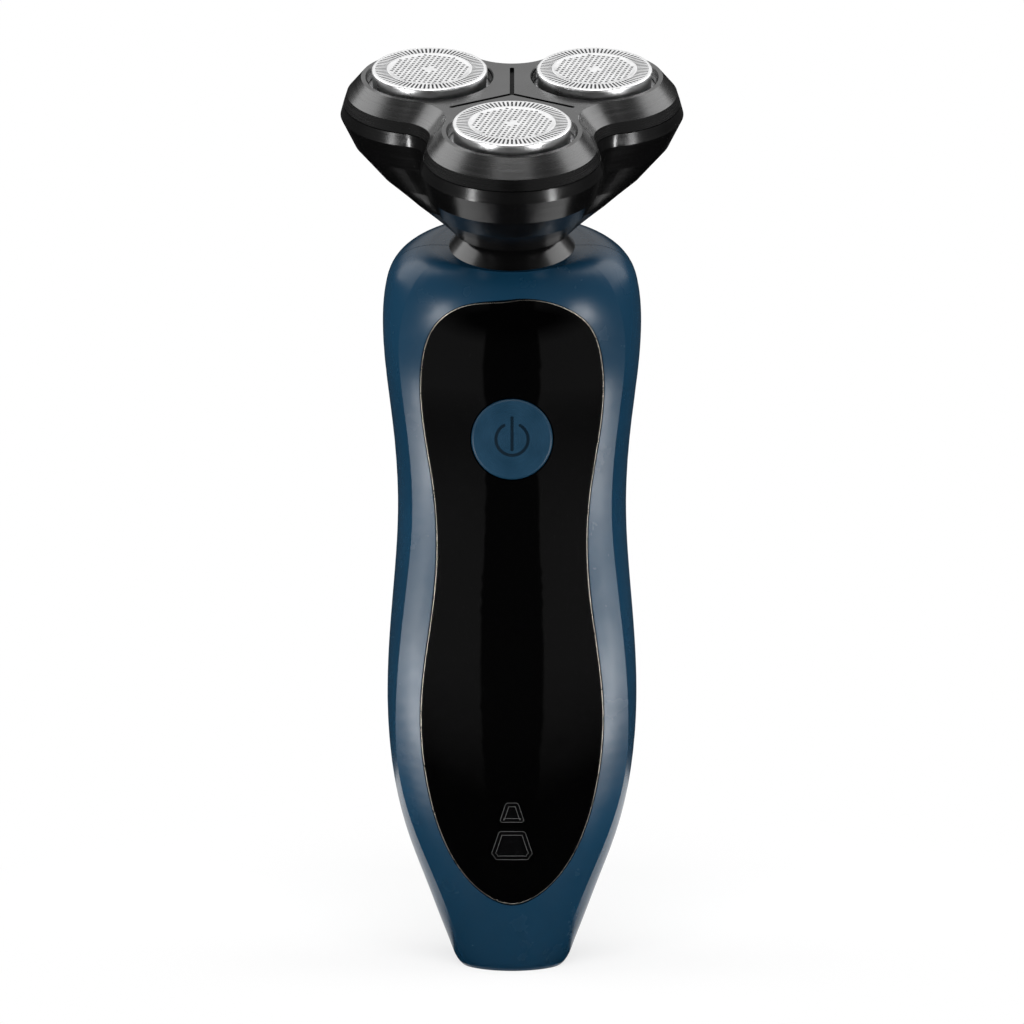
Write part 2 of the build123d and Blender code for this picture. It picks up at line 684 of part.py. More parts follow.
# Inner chassis: plate between the housing bosses, with a cradle for the battery
CRADLE_BOTTOM = BATTERY_BOTTOM - TAB_THICKNESS
CRADLE_TOP = BATTERY_BOTTOM + BATTERY_LENGTH + TAB_THICKNESS
with BuildPart() as inner_chassis:
    with BuildSketch(facing(CHASSIS_REAR)):
        with Locations((0, (CHASSIS_BOTTOM + CHASSIS_TOP) / 2)):
            Rectangle(2 * (CRADLE_HALF + RAIL_THICKNESS), CHASSIS_TOP - CHASSIS_BOTTOM)
        with Locations(*SCREW_AXES):
            Circle(BOSS_RADIUS)
        for x, z in SCREW_AXES:
            with Locations((x / 2, z)):
                Rectangle(abs(x), 2 * BOSS_RADIUS)
    extrude(amount=CHASSIS_THICKNESS)
    with BuildSketch(facing(CHASSIS_REAR)):
        with Locations((0, (CRADLE_BOTTOM + CRADLE_TOP) / 2)):
            Rectangle(2 * (CRADLE_HALF + RAIL_THICKNESS), CRADLE_TOP - CRADLE_BOTTOM + 2 * RAIL_THICKNESS)
            Rectangle(2 * CRADLE_HALF, CRADLE_TOP - CRADLE_BOTTOM, mode=Mode.SUBTRACT)
    extrude(amount=-RAIL_HEIGHT)
    with BuildSketch(facing(CHASSIS_REAR)):
        with Locations(*SCREW_AXES):
            Circle(SCREW_RADIUS + LOOSE_FIT)
    extrude(amount=CHASSIS_THICKNESS, mode=Mode.SUBTRACT)
write(inner_chassis.part, "inner_chassis")

# Battery cell with a welded tab at each end
BATTERY_Y = CHASSIS_REAR + BATTERY_FIT + BATTERY_RADIUS
with BuildPart() as battery:
    with BuildSketch(Plane.XY.offset(BATTERY_BOTTOM)):
        with Locations((0, BATTERY_Y)):
            Circle(BATTERY_RADIUS)
    extrude(amount=BATTERY_LENGTH)
write(battery.part, "battery")

with BuildPart() as battery_tabs:
    for level in (CRADLE_BOTTOM, BATTERY_BOTTOM + BATTERY_LENGTH):
        with BuildSketch(Plane.XY.offset(level)):
            with Locations((0, BATTERY_Y)):
                Rectangle(TAB_WIDTH, TAB_LENGTH)
        extrude(amount=TAB_THICKNESS)
write(battery_tabs.part, "battery_tabs")

# Charging socket and its board in the foot
with BuildPart() as charging_socket:
    with BuildSketch(Plane.XY.offset(SOCKET_RECESS)):
        with Locations((0, SOCKET_Y)):
            RectangleRounded(SOCKET_SHORT, SOCKET_LONG, SOCKET_CORNER)
    extrude(amount=SOCKET_LENGTH)
    with BuildSketch(Plane.XY.offset(SOCKET_RECESS)):
        with Locations((0, SOCKET_Y)):
            RectangleRounded(
                SOCKET_SHORT - 2 * SOCKET_WALL,
                SOCKET_LONG - 2 * SOCKET_WALL,
                SOCKET_CORNER - SOCKET_WALL,
            )
            Rectangle(TONGUE_SHORT, TONGUE_LONG, mode=Mode.SUBTRACT)
    extrude(amount=SOCKET_LENGTH - SOCKET_BACK, mode=Mode.SUBTRACT)
    with BuildSketch(Plane.XY.offset(SOCKET_RECESS)):
        with Locations((0, SOCKET_Y)):
            Rectangle(TONGUE_SHORT, TONGUE_LONG)
    extrude(amount=TONGUE_RECESS, mode=Mode.SUBTRACT)
write(charging_socket.part, "charging_socket")

with BuildPart() as charging_board:
    with BuildSketch(Plane.XY.offset(CHARGE_BOARD_LEVEL)):
        with Locations((0, (CHARGE_BOARD_FRONT + CHARGE_BOARD_REAR) / 2)):
            Rectangle(2 * CHARGE_BOARD_HALF_WIDTH, CHARGE_BOARD_REAR - CHARGE_BOARD_FRONT)
    extrude(amount=CHARGE_BOARD_THICKNESS)
write(charging_board.part, "charging_board")

# Neck collar: flared rim on the handle, a spigot through its roof and the post that carries the head
SPIGOT_END_DEPTH = HEAD_HEIGHT + SPIGOT_LENGTH
POST_TOP_DEPTH = PIVOT_DEPTH - NECK_POST_RISE
NECK_RING_DEPTH = HEAD_HEIGHT + SPIGOT_LENGTH / 2
with BuildPart() as neck_collar:
    add(
        turned(
            (NECK_BORE, POST_TOP_DEPTH),
            (NECK_POST_RADIUS, POST_TOP_DEPTH),
            (NECK_POST_RADIUS, LIP_DEPTH),
            (COLLAR_TOP_RADIUS, LIP_DEPTH),
            (COLLAR_RIM_RADIUS, HEAD_HEIGHT),
            (SPIGOT_RADIUS, HEAD_HEIGHT),
            (SPIGOT_RADIUS, NECK_RING_DEPTH - NECK_RING_WIRE),
            (SPIGOT_RADIUS - 2 * NECK_RING_WIRE, NECK_RING_DEPTH - NECK_RING_WIRE),
            (SPIGOT_RADIUS - 2 * NECK_RING_WIRE, NECK_RING_DEPTH + NECK_RING_WIRE),
            (SPIGOT_RADIUS, NECK_RING_DEPTH + NECK_RING_WIRE),
            (SPIGOT_RADIUS, SPIGOT_END_DEPTH),
            (SEAL_RADIUS, SPIGOT_END_DEPTH),
            (SEAL_RADIUS, SPIGOT_END_DEPTH - SEAL_THICKNESS),
            (NECK_BORE, SPIGOT_END_DEPTH - SEAL_THICKNESS),
        )
    )
    revolve(axis=HEAD_AXIS)
    with BuildSketch(PITCH_PLANE):
        Circle(TILT_PIN_RADIUS + RUNNING_FIT)
    extrude(amount=SWIVEL_INNER, both=True, mode=Mode.SUBTRACT)
    with BuildSketch(head_level(SPIGOT_END_DEPTH)):
        with PolarLocations(BRACKET_SCREW_CIRCLE, 3, start_angle=COLLAR_SCREW_ANGLE):
            Circle(SMALL_SCREW_RADIUS)
    extrude(amount=SEAL_THICKNESS, mode=Mode.SUBTRACT)
write(neck_collar.part, "neck_collar")

with BuildPart() as collar_seal:
    with BuildSketch(HEAD_SIDE):
        with Locations((SPIGOT_RADIUS - NECK_RING_WIRE, -NECK_RING_DEPTH)):
            RegularPolygon(NECK_RING_WIRE, NECK_RING_SIDES)
    revolve(axis=HEAD_AXIS)
write(collar_seal.part, "collar_seal")

with BuildPart() as shaft_seal:
    with BuildSketch(head_level(SPIGOT_END_DEPTH)):
        Circle(SEAL_RADIUS)
        Circle(MOTOR_SHAFT_RADIUS + RUNNING_FIT, mode=Mode.SUBTRACT)
    extrude(amount=SEAL_THICKNESS)
write(shaft_seal.part, "shaft_seal")

# Motor bracket under the roof, screwed up into the collar and down into the motor
BRACKET_DEPTH = HEAD_HEIGHT + ROOF_THICKNESS
MOTOR_DEPTH = BRACKET_DEPTH + BRACKET_THICKNESS
with BuildPart() as motor_bracket:
    with BuildSketch(head_level(BRACKET_DEPTH)):
        Circle(BRACKET_RADIUS)
        Circle(MOTOR_BOSS_RADIUS + LOOSE_FIT, mode=Mode.SUBTRACT)
        with PolarLocations(BRACKET_SCREW_CIRCLE, 3, start_angle=COLLAR_SCREW_ANGLE):
            Circle(SMALL_SCREW_RADIUS, mode=Mode.SUBTRACT)
        with PolarLocations(BRACKET_SCREW_CIRCLE, 2):
            Circle(SMALL_SCREW_RADIUS, mode=Mode.SUBTRACT)
    extrude(amount=-BRACKET_THICKNESS)
    with BuildSketch(head_level(MOTOR_DEPTH)):
        with PolarLocations(BRACKET_SCREW_CIRCLE, 3, start_angle=COLLAR_SCREW_ANGLE):
            Circle(SMALL_HEAD_RADIUS + LOOSE_FIT)
    extrude(amount=SMALL_HEAD_HEIGHT, mode=Mode.SUBTRACT)
    with BuildSketch(head_level(BRACKET_DEPTH)):
        with PolarLocations(BRACKET_SCREW_CIRCLE, 2):
            Circle(SMALL_HEAD_RADIUS + LOOSE_FIT)
    extrude(amount=-SMALL_HEAD_HEIGHT, mode=Mode.SUBTRACT)
write(motor_bracket.part, "motor_bracket")

with BuildPart() as collar_screws:
    with BuildSketch(head_level(MOTOR_DEPTH)):
        with PolarLocations(BRACKET_SCREW_CIRCLE, 3, start_angle=COLLAR_SCREW_ANGLE):
            Circle(SMALL_HEAD_RADIUS)
    extrude(amount=SMALL_HEAD_HEIGHT)
    with BuildSketch(head_level(MOTOR_DEPTH)):
        with PolarLocations(BRACKET_SCREW_CIRCLE, 3, start_angle=COLLAR_SCREW_ANGLE):
            Circle(SMALL_SCREW_RADIUS)
    extrude(amount=MOTOR_DEPTH - SPIGOT_END_DEPTH + SEAL_THICKNESS)
write(collar_screws.part, "collar_screws")

with BuildPart() as motor_screws:
    with BuildSketch(head_level(BRACKET_DEPTH)):
        with PolarLocations(BRACKET_SCREW_CIRCLE, 2):
            Circle(SMALL_HEAD_RADIUS)
    extrude(amount=-SMALL_HEAD_HEIGHT)
    with BuildSketch(head_level(BRACKET_DEPTH)):
        with PolarLocations(BRACKET_SCREW_CIRCLE, 2):
            Circle(SMALL_SCREW_RADIUS)
    extrude(amount=-BRACKET_THICKNESS - MOTOR_SCREW_GRIP)
write(motor_screws.part, "motor_screws")

# Motor can with two flats, its boss in the bracket and its end cap
with BuildPart() as motor_can:
    with BuildSketch(head_level(MOTOR_DEPTH)):
        Circle(MOTOR_RADIUS)
        Rectangle(REACH, 2 * MOTOR_FLAT, mode=Mode.INTERSECT)
    extrude(amount=-MOTOR_LENGTH)
    with BuildSketch(head_level(MOTOR_DEPTH)):
        Circle(MOTOR_BOSS_RADIUS)
    extrude(amount=MOTOR_BOSS_HEIGHT)
    with BuildSketch(head_level(MOTOR_DEPTH + MOTOR_LENGTH)):
        Circle(MOTOR_SHAFT_RADIUS + RUNNING_FIT)
    extrude(amount=MOTOR_LENGTH + MOTOR_BOSS_HEIGHT, mode=Mode.SUBTRACT)
    with BuildSketch(head_level(MOTOR_DEPTH)):
        with PolarLocations(BRACKET_SCREW_CIRCLE, 2):
            Circle(SMALL_SCREW_RADIUS)
    extrude(amount=-MOTOR_SCREW_GRIP, mode=Mode.SUBTRACT)
write(motor_can.part, "motor_can")

with BuildPart() as motor_end_cap:
    with BuildSketch(head_level(MOTOR_DEPTH + MOTOR_LENGTH)):
        Circle(MOTOR_RADIUS)
        Rectangle(REACH, 2 * MOTOR_FLAT, mode=Mode.INTERSECT)
        Circle(MOTOR_SHAFT_RADIUS + RUNNING_FIT, mode=Mode.SUBTRACT)
    extrude(amount=-MOTOR_CAP_LENGTH)
write(motor_end_cap.part, "motor_end_cap")

# Rotor: motor shaft and the slotted drive coupling at the tilt centre
COUPLING_FLOOR_DEPTH = PIVOT_DEPTH + BALL_RADIUS + BALL_CLEARANCE
SHAFT_TOP_DEPTH = COUPLING_FLOOR_DEPTH + COUPLING_FLOOR
SHAFT_END_DEPTH = MOTOR_DEPTH + MOTOR_LENGTH + MOTOR_CAP_LENGTH / 2
with BuildPart() as motor_shaft:
    with BuildSketch(head_level(SHAFT_END_DEPTH)):
        Circle(MOTOR_SHAFT_RADIUS)
    extrude(amount=SHAFT_END_DEPTH - SHAFT_TOP_DEPTH)
write(motor_shaft.part, "motor_shaft")

with BuildPart() as drive_coupling:
    add(
        turned(
            (COUPLING_BORE, COUPLING_TOP_DEPTH),
            (COUPLING_RADIUS, COUPLING_TOP_DEPTH),
            (COUPLING_RADIUS, COUPLING_END_DEPTH),
            (MOTOR_SHAFT_RADIUS, COUPLING_END_DEPTH),
            (MOTOR_SHAFT_RADIUS, SHAFT_TOP_DEPTH),
            (0, SHAFT_TOP_DEPTH),
            (0, COUPLING_FLOOR_DEPTH),
            (COUPLING_BORE, COUPLING_FLOOR_DEPTH),
        )
    )
    revolve(axis=HEAD_AXIS)
    with BuildSketch(head_level(COUPLING_TOP_DEPTH)):
        Rectangle(REACH, 2 * (CROSS_PIN_RADIUS + CROSS_SLOT_FIT))
    extrude(amount=COUPLING_TOP_DEPTH - COUPLING_FLOOR_DEPTH, mode=Mode.SUBTRACT)
write(drive_coupling.part, "drive_coupling")

# Swivel ring of the floating head, with a pair of pins for each tilt
with BuildPart() as swivel_ring:
    with BuildSketch(head_level(PIVOT_DEPTH - SWIVEL_HEIGHT / 2)):
        Circle(SWIVEL_OUTER)
        Circle(SWIVEL_INNER, mode=Mode.SUBTRACT)
    extrude(amount=-SWIVEL_HEIGHT)
    for plane in (PITCH_PLANE, ROLL_PLANE):
        with BuildSketch(plane):
            Circle(TILT_PIN_RADIUS)
        extrude(amount=2 * SWIVEL_OUTER, both=True, mode=Mode.SUBTRACT)
write(swivel_ring.part, "swivel_ring")

with BuildPart() as pitch_pins:
    for side in (-1, 1):
        with BuildSketch(PITCH_PLANE.offset(side * (NECK_BORE + RUNNING_FIT))):
            Circle(TILT_PIN_RADIUS)
        extrude(amount=side * (SWIVEL_OUTER - NECK_BORE - RUNNING_FIT))
write(pitch_pins.part, "pitch_pins")

ROLL_PIN_END = SWIVEL_OUTER + ROLL_PIN_REACH
with BuildPart() as roll_pins:
    for side in (-1, 1):
        with BuildSketch(ROLL_PLANE.offset(side * SWIVEL_INNER)):
            Circle(TILT_PIN_RADIUS)
        extrude(amount=side * (ROLL_PIN_END - SWIVEL_INNER))
write(roll_pins.part, "roll_pins")

# Head base: lower shell, gear deck with the sun bearing, gear cover posts and lugs for the roll pins
DECK_END_DEPTH = DECK_DEPTH + DECK_THICKNESS
LOWER_OUTLINES = [outline for outline in HEAD_OUTLINES if outline.depth >= SEAM_DEPTH]
UPPER_CAVITY = [outline for outline in LOWER_OUTLINES if outline.depth < DECK_DEPTH]
UPPER_CAVITY.append(outline_at(DECK_DEPTH))
LOWER_CAVITY = [outline_at(DECK_END_DEPTH)] + [
    outline for outline in LOWER_OUTLINES if DECK_END_DEPTH + RUN_PAST < outline.depth < LIP_DEPTH
]
with BuildPart() as head_base_cavities:
    for outline in UPPER_CAVITY:
        add(trefoil(outline, HEAD_WALL))
    loft(ruled=True)
    for outline in LOWER_CAVITY:
        add(trefoil(outline, HEAD_WALL))
    add(trefoil(HEAD_OUTLINES[-1], LIP_WALL))
    loft(ruled=True)

with BuildPart() as head_base_outside:
    for outline in [outline_at(SEAM_DEPTH + SEAM_GAP)] + LOWER_OUTLINES[1:]:
        add(trefoil(outline))
    loft(ruled=True)

with BuildPart() as roll_lugs:
    for side in (-1, 1):
        with BuildSketch(ROLL_PLANE.offset(side * (SWIVEL_OUTER + ROLL_LUG_GAP))):
            with Locations((0, (ROLL_LUG_DROP - PIVOT_DEPTH + DECK_DEPTH) / 2)):
                Rectangle(ROLL_LUG_WIDTH, PIVOT_DEPTH - DECK_DEPTH + ROLL_LUG_DROP)
        extrude(amount=side * REACH)
    add(head_base_outside.part, mode=Mode.INTERSECT)

# The lip stands up inside the cover and is rooted in the wall below the seam
LIP_TOP_DEPTH = SEAM_DEPTH - COVER_LIP_HEIGHT
LIP_FOOT_DEPTH = SEAM_DEPTH + SEAM_GAP
LIP_ROOT_DEPTH = LIP_FOOT_DEPTH + HEAD_WALL
with BuildPart() as cover_lip:
    for depth in (LIP_TOP_DEPTH, SEAM_DEPTH, LIP_FOOT_DEPTH):
        add(trefoil(outline_at(depth), HEAD_WALL + LOOSE_FIT))
    loft(ruled=True)
    for depth in (LIP_FOOT_DEPTH, LIP_ROOT_DEPTH):
        add(trefoil(outline_at(depth), HEAD_WALL / 2))
    loft(ruled=True)
    for depth in (LIP_TOP_DEPTH, SEAM_DEPTH, LIP_ROOT_DEPTH):
        add(trefoil(outline_at(depth), HEAD_WALL + COVER_LIP_WALL))
    loft(ruled=True, mode=Mode.SUBTRACT)

SHAFT_HOLE_DEPTH = DECK_DEPTH + DECK_THICKNESS - DECK_SKIN
with BuildPart() as head_base:
    add(head_base_outside.part)
    add(head_base_cavities.part, mode=Mode.SUBTRACT)
    add(roll_lugs.part)
    add(cover_lip.part)
    with BuildSketch(head_level(BEARING_END_DEPTH)):
        Circle(SUN_STEM_RADIUS + RUNNING_FIT + BEARING_WALL)
    extrude(amount=BEARING_END_DEPTH - DECK_DEPTH)
    with BuildSketch(head_level(DECK_DEPTH)):
        with PolarLocations(POST_CIRCLE, 3, start_angle=POST_ANGLE):
            Circle(POST_RADIUS)
    extrude(amount=DECK_DEPTH - GEAR_COVER_DEPTH - GEAR_COVER_THICKNESS)
    with BuildSketch(head_level(GEAR_COVER_DEPTH + GEAR_COVER_THICKNESS)):
        with PolarLocations(POST_CIRCLE, 3, start_angle=POST_ANGLE):
            Circle(PLATE_SCREW_RADIUS)
    extrude(amount=-PLATE_SCREW_GRIP, mode=Mode.SUBTRACT)
    with BuildSketch(head_level(BEARING_END_DEPTH)):
        Circle(SUN_STEM_RADIUS + RUNNING_FIT)
    extrude(amount=BEARING_END_DEPTH - DECK_DEPTH, mode=Mode.SUBTRACT)
    with BuildSketch(head_level(DECK_DEPTH)):
        with PolarLocations(CUTTER_CIRCLE, 3, start_angle=LOBES["front"]):
            Circle(SHAFT_PIN_RADIUS + RUNNING_FIT)
    extrude(amount=DECK_DEPTH - SHAFT_HOLE_DEPTH, mode=Mode.SUBTRACT)
    with BuildSketch(ROLL_PLANE):
        Circle(TILT_PIN_RADIUS + RUNNING_FIT)
    extrude(amount=ROLL_PIN_END + RUNNING_FIT, both=True, mode=Mode.SUBTRACT)
write(head_base.part, "head_base")

# Gear cover on its posts, with the upper bearings
with BuildPart() as gear_cover:
    plate = trefoil(outline_at(GEAR_COVER_DEPTH + GEAR_COVER_THICKNESS), HEAD_WALL + GEAR_COVER_GAP)
    extrude(plate, amount=GEAR_COVER_THICKNESS, dir=NECK_DIRECTION)
    with BuildSketch(head_level(GEAR_COVER_DEPTH)):
        Circle(SHAFT_PIN_RADIUS + RUNNING_FIT)
        with PolarLocations(CUTTER_CIRCLE, 3, start_angle=LOBES["front"]):
            Circle(DRIVE_SHAFT_RADIUS + RUNNING_FIT)
        with PolarLocations(POST_CIRCLE, 3, start_angle=POST_ANGLE):
            Circle(PLATE_SCREW_RADIUS)
    extrude(amount=-GEAR_COVER_THICKNESS, mode=Mode.SUBTRACT)
write(gear_cover.part, "gear_cover")

with BuildPart() as gear_cover_screws:
    with BuildSketch(head_level(GEAR_COVER_DEPTH)):
        with PolarLocations(POST_CIRCLE, 3, start_angle=POST_ANGLE):
            Circle(PLATE_HEAD_RADIUS)
    extrude(amount=PLATE_HEAD_HEIGHT)
    with BuildSketch(head_level(GEAR_COVER_DEPTH)):
        with PolarLocations(POST_CIRCLE, 3, start_angle=POST_ANGLE):
            Circle(PLATE_SCREW_RADIUS)
    extrude(amount=-GEAR_COVER_THICKNESS - PLATE_SCREW_GRIP)
write(gear_cover_screws.part, "gear_cover_screws")


def cutter_level(lobe, depth):
    """Plane across one cutter axis at a depth below the top face of the head."""
    return Plane(cutter_seat(lobe)).offset(-depth)


def gear_face(plane, teeth, phase):
    """Face of a spur gear turned by a phase in degrees; each flank is an arc along its involute."""
    pitch = GEAR_MODULE * teeth / 2
    base = pitch * cos(PRESSURE_ANGLE)
    tip = pitch + GEAR_MODULE * TOOTH_RISE
    root = pitch - GEAR_MODULE * TOOTH_FALL
    half_at_pitch = (pi * GEAR_MODULE / 2 - TOOTH_BACKLASH) / (2 * pitch)
    step = 360 / teeth

    def half_tooth(radius):
        slant = acos(base / radius)
        return degrees(half_at_pitch + tan(PRESSURE_ANGLE) - PRESSURE_ANGLE - tan(slant) + slant)

    with BuildSketch(plane) as face:
        with BuildLine():
            for tooth in range(teeth):
                middle = phase + tooth * step
                for side in (-1, 1):
                    foot, flank, crest = [
                        ray(middle + side * half_tooth(radius), radius)
                        for radius in (base, (base + tip) / 2, tip)
                    ]
                    Line(ray(middle + side * half_tooth(base), root), foot)
                    ThreePointArc(foot, flank, crest)
                ThreePointArc(
                    ray(middle - half_tooth(tip), tip), ray(middle, tip), ray(middle + half_tooth(tip), tip)
                )
                ThreePointArc(
                    ray(middle + half_tooth(base), root),
                    ray(middle + step / 2, root),
                    ray(middle + step - half_tooth(base), root),
                )
        make_face()
    return face.sketch


def planet_phase(lobe):
    """Turn of a planet gear that puts its tooth gaps over the sun's teeth."""
    angle = LOBES[lobe]
    sun_step = 360 / SUN_TEETH
    sun_lead = round(angle / sun_step) * sun_step - angle
    return angle + 180 + 180 / PLANET_TEETH - sun_lead * SUN_TEETH / PLANET_TEETH


# Sun gear with its stem, ball end and cross pin
GEAR_END_DEPTH = GEAR_DEPTH + GEAR_WIDTH
STEM_END_DEPTH = POST_TOP_DEPTH - STEM_GAP
with BuildPart() as sun_gear:
    extrude(gear_face(head_level(GEAR_END_DEPTH), SUN_TEETH, 0.0), amount=GEAR_WIDTH, dir=NECK_DIRECTION)
    add(
        turned(
            (0, GEAR_COVER_DEPTH + RUNNING_FIT),
            (SHAFT_PIN_RADIUS, GEAR_COVER_DEPTH + RUNNING_FIT),
            (SHAFT_PIN_RADIUS, GEAR_END_DEPTH),
            (GEAR_BOSS_RADIUS, GEAR_END_DEPTH),
            (GEAR_BOSS_RADIUS, DECK_DEPTH - LOOSE_FIT),
            (SUN_STEM_RADIUS, DECK_DEPTH - LOOSE_FIT),
            (SUN_STEM_RADIUS, STEM_END_DEPTH),
            (STEM_NECK_RADIUS, COUPLING_TOP_DEPTH - STEM_TAPER_GAP),
            (STEM_NECK_RADIUS, PIVOT_DEPTH),
            (0, PIVOT_DEPTH),
        )
    )
    revolve(axis=HEAD_AXIS)
    with Locations(head_level(PIVOT_DEPTH).location):
        Sphere(BALL_RADIUS)
    with BuildSketch(PITCH_PLANE):
        Circle(CROSS_PIN_RADIUS)
    extrude(amount=BALL_RADIUS, both=True, mode=Mode.SUBTRACT)
write(sun_gear.part, "sun_gear")

with BuildPart() as coupling_pin:
    with BuildSketch(PITCH_PLANE):
        Circle(CROSS_PIN_RADIUS)
    extrude(amount=CROSS_PIN_LENGTH / 2, both=True)
write(coupling_pin.part, "coupling_pin")

# Planet gears, drive shafts and the springs that push the cutters up
SEAT_END_DEPTH = SPRING_SEAT_DEPTH + SPRING_SEAT_THICKNESS
SPRING_LENGTH = SPRING_SEAT_DEPTH - HUB_END_DEPTH - SPRING_WIRE - 2 * RUNNING_FIT
SPRING_PITCH = SPRING_LENGTH / SPRING_TURNS
for lobe in LOBES:
    with BuildPart() as planet_gear:
        teeth = gear_face(cutter_level(lobe, GEAR_END_DEPTH), PLANET_TEETH, planet_phase(lobe))
        extrude(teeth, amount=GEAR_WIDTH, dir=NECK_DIRECTION)
        with BuildSketch(cutter_level(lobe, GEAR_END_DEPTH)):
            Circle(GEAR_BOSS_RADIUS)
        extrude(amount=GEAR_END_DEPTH - DECK_DEPTH + LOOSE_FIT)
        with BuildSketch(cutter_level(lobe, GEAR_DEPTH)):
            Circle(DRIVE_SHAFT_RADIUS)
        extrude(amount=GEAR_DEPTH - DECK_DEPTH, mode=Mode.SUBTRACT)
    write(planet_gear.part, f"planet_gear_{lobe}")

    with BuildPart() as drive_shaft:
        with BuildSketch(cutter_level(lobe, SPRING_SEAT_DEPTH)):
            RegularPolygon(TIP_RADIUS, 6)
        extrude(amount=SPRING_SEAT_DEPTH - SHAFT_TIP_DEPTH)
        with BuildSketch(cutter_level(lobe, SEAT_END_DEPTH)):
            Circle(SPRING_SEAT_RADIUS)
        extrude(amount=SPRING_SEAT_THICKNESS)
        with BuildSketch(cutter_level(lobe, SEAT_END_DEPTH)):
            Circle(DRIVE_SHAFT_RADIUS)
        extrude(amount=SEAT_END_DEPTH - DECK_DEPTH + LOOSE_FIT)
        with BuildSketch(cutter_level(lobe, DECK_DEPTH - LOOSE_FIT)):
            Circle(SHAFT_PIN_RADIUS)
        extrude(amount=DECK_DEPTH - SHAFT_HOLE_DEPTH)
    write(drive_shaft.part, f"drive_shaft_{lobe}")

    with BuildPart() as shaft_spring:
        coil_start = cutter_level(lobe, SPRING_SEAT_DEPTH - SPRING_WIRE / 2 - RUNNING_FIT).origin
        with BuildLine():
            coil = Helix(SPRING_PITCH, SPRING_LENGTH, SPRING_RADIUS, coil_start, NECK_DIRECTION)
        with BuildSketch(Plane(origin=coil @ 0, z_dir=coil % 0)):
            RegularPolygon(SPRING_WIRE / 2, SPRING_WIRE_SIDES)
        sweep(path=coil, is_frenet=True)
    write(shaft_spring.part, f"shaft_spring_{lobe}")

FLANGE_DEPTH = COVER_ROOF + FLANGE_GAP
FRAME_DEPTH = FLANGE_DEPTH + FLANGE_THICKNESS + CAP_FLOAT + FRAME_CLEARANCE
FRAME_END_DEPTH = FRAME_DEPTH + FRAME_THICKNESS

# Head cover: upper shell with three openings, a Y groove and the boss for the lock knob
COVER_OUTLINES = [outline for outline in HEAD_OUTLINES if outline.depth <= SEAM_DEPTH]
with BuildPart() as cover_cavity:
    for outline in [outline_at(COVER_ROOF)] + COVER_OUTLINES[1:]:
        add(trefoil(outline, HEAD_WALL))
    loft(ruled=True)

with BuildPart() as head_cover:
    for outline in COVER_OUTLINES:
        add(trefoil(outline))
    loft(ruled=True)
    add(cover_cavity.part, mode=Mode.SUBTRACT)
    with BuildSketch(head_level(COVER_ROOF)):
        Circle(COVER_BOSS_RADIUS)
    extrude(amount=COVER_ROOF - FRAME_DEPTH)
    for lobe in LOBES:
        with BuildSketch(cutter_level(lobe, 0)):
            Circle(CAP_OPENING + OPENING_BEVEL)
        with BuildSketch(cutter_level(lobe, OPENING_BEVEL)):
            Circle(CAP_OPENING)
        loft(mode=Mode.SUBTRACT)
        with BuildSketch(cutter_level(lobe, 0)):
            Circle(CAP_OPENING)
        extrude(amount=-COVER_ROOF, mode=Mode.SUBTRACT)
    with BuildSketch(head_level(0)):
        with PolarLocations(GROOVE_LENGTH / 2, 3, start_angle=90):
            SlotOverall(GROOVE_LENGTH, GROOVE_WIDTH)
    extrude(amount=-GROOVE_DEPTH, mode=Mode.SUBTRACT)
    with BuildSketch(head_level(FRAME_DEPTH)):
        Circle(KNOB_SCREW_RADIUS)
    extrude(amount=FRAME_DEPTH - COVER_ROOF, mode=Mode.SUBTRACT)
write(head_cover.part, "head_cover")

# Retaining frame under the cutters and the knob that locks it to the cover
with BuildPart() as retaining_frame:
    with BuildSketch(head_level(FRAME_DEPTH)):
        Circle(KNOB_RADIUS)
        with PolarLocations(CUTTER_CIRCLE / 2, 3, start_angle=LOBES["front"]):
            Rectangle(CUTTER_CIRCLE, FRAME_ARM_WIDTH)
        with PolarLocations(CUTTER_CIRCLE, 3, start_angle=LOBES["front"]):
            Circle(FRAME_RING_INNER + FRAME_RING_WIDTH)
        with PolarLocations(CUTTER_CIRCLE, 3, start_angle=LOBES["front"]):
            Circle(FRAME_RING_INNER, mode=Mode.SUBTRACT)
        Circle(KNOB_SCREW_RADIUS, mode=Mode.SUBTRACT)
    extrude(amount=-FRAME_THICKNESS)
write(retaining_frame.part, "retaining_frame")

with BuildPart() as lock_knob:
    with BuildSketch(head_level(FRAME_END_DEPTH)):
        Circle(KNOB_RADIUS)
        with PolarLocations(KNOB_RADIUS + KNOB_SCALLOP / 2, KNOB_SCALLOPS):
            Circle(KNOB_SCALLOP, mode=Mode.SUBTRACT)
    extrude(amount=-KNOB_HEIGHT)
    with BuildSketch(head_level(FRAME_END_DEPTH)):
        Circle(KNOB_SCREW_RADIUS)
    extrude(amount=FRAME_END_DEPTH - COVER_ROOF - LOOSE_FIT)
write(lock_knob.part, "lock_knob")

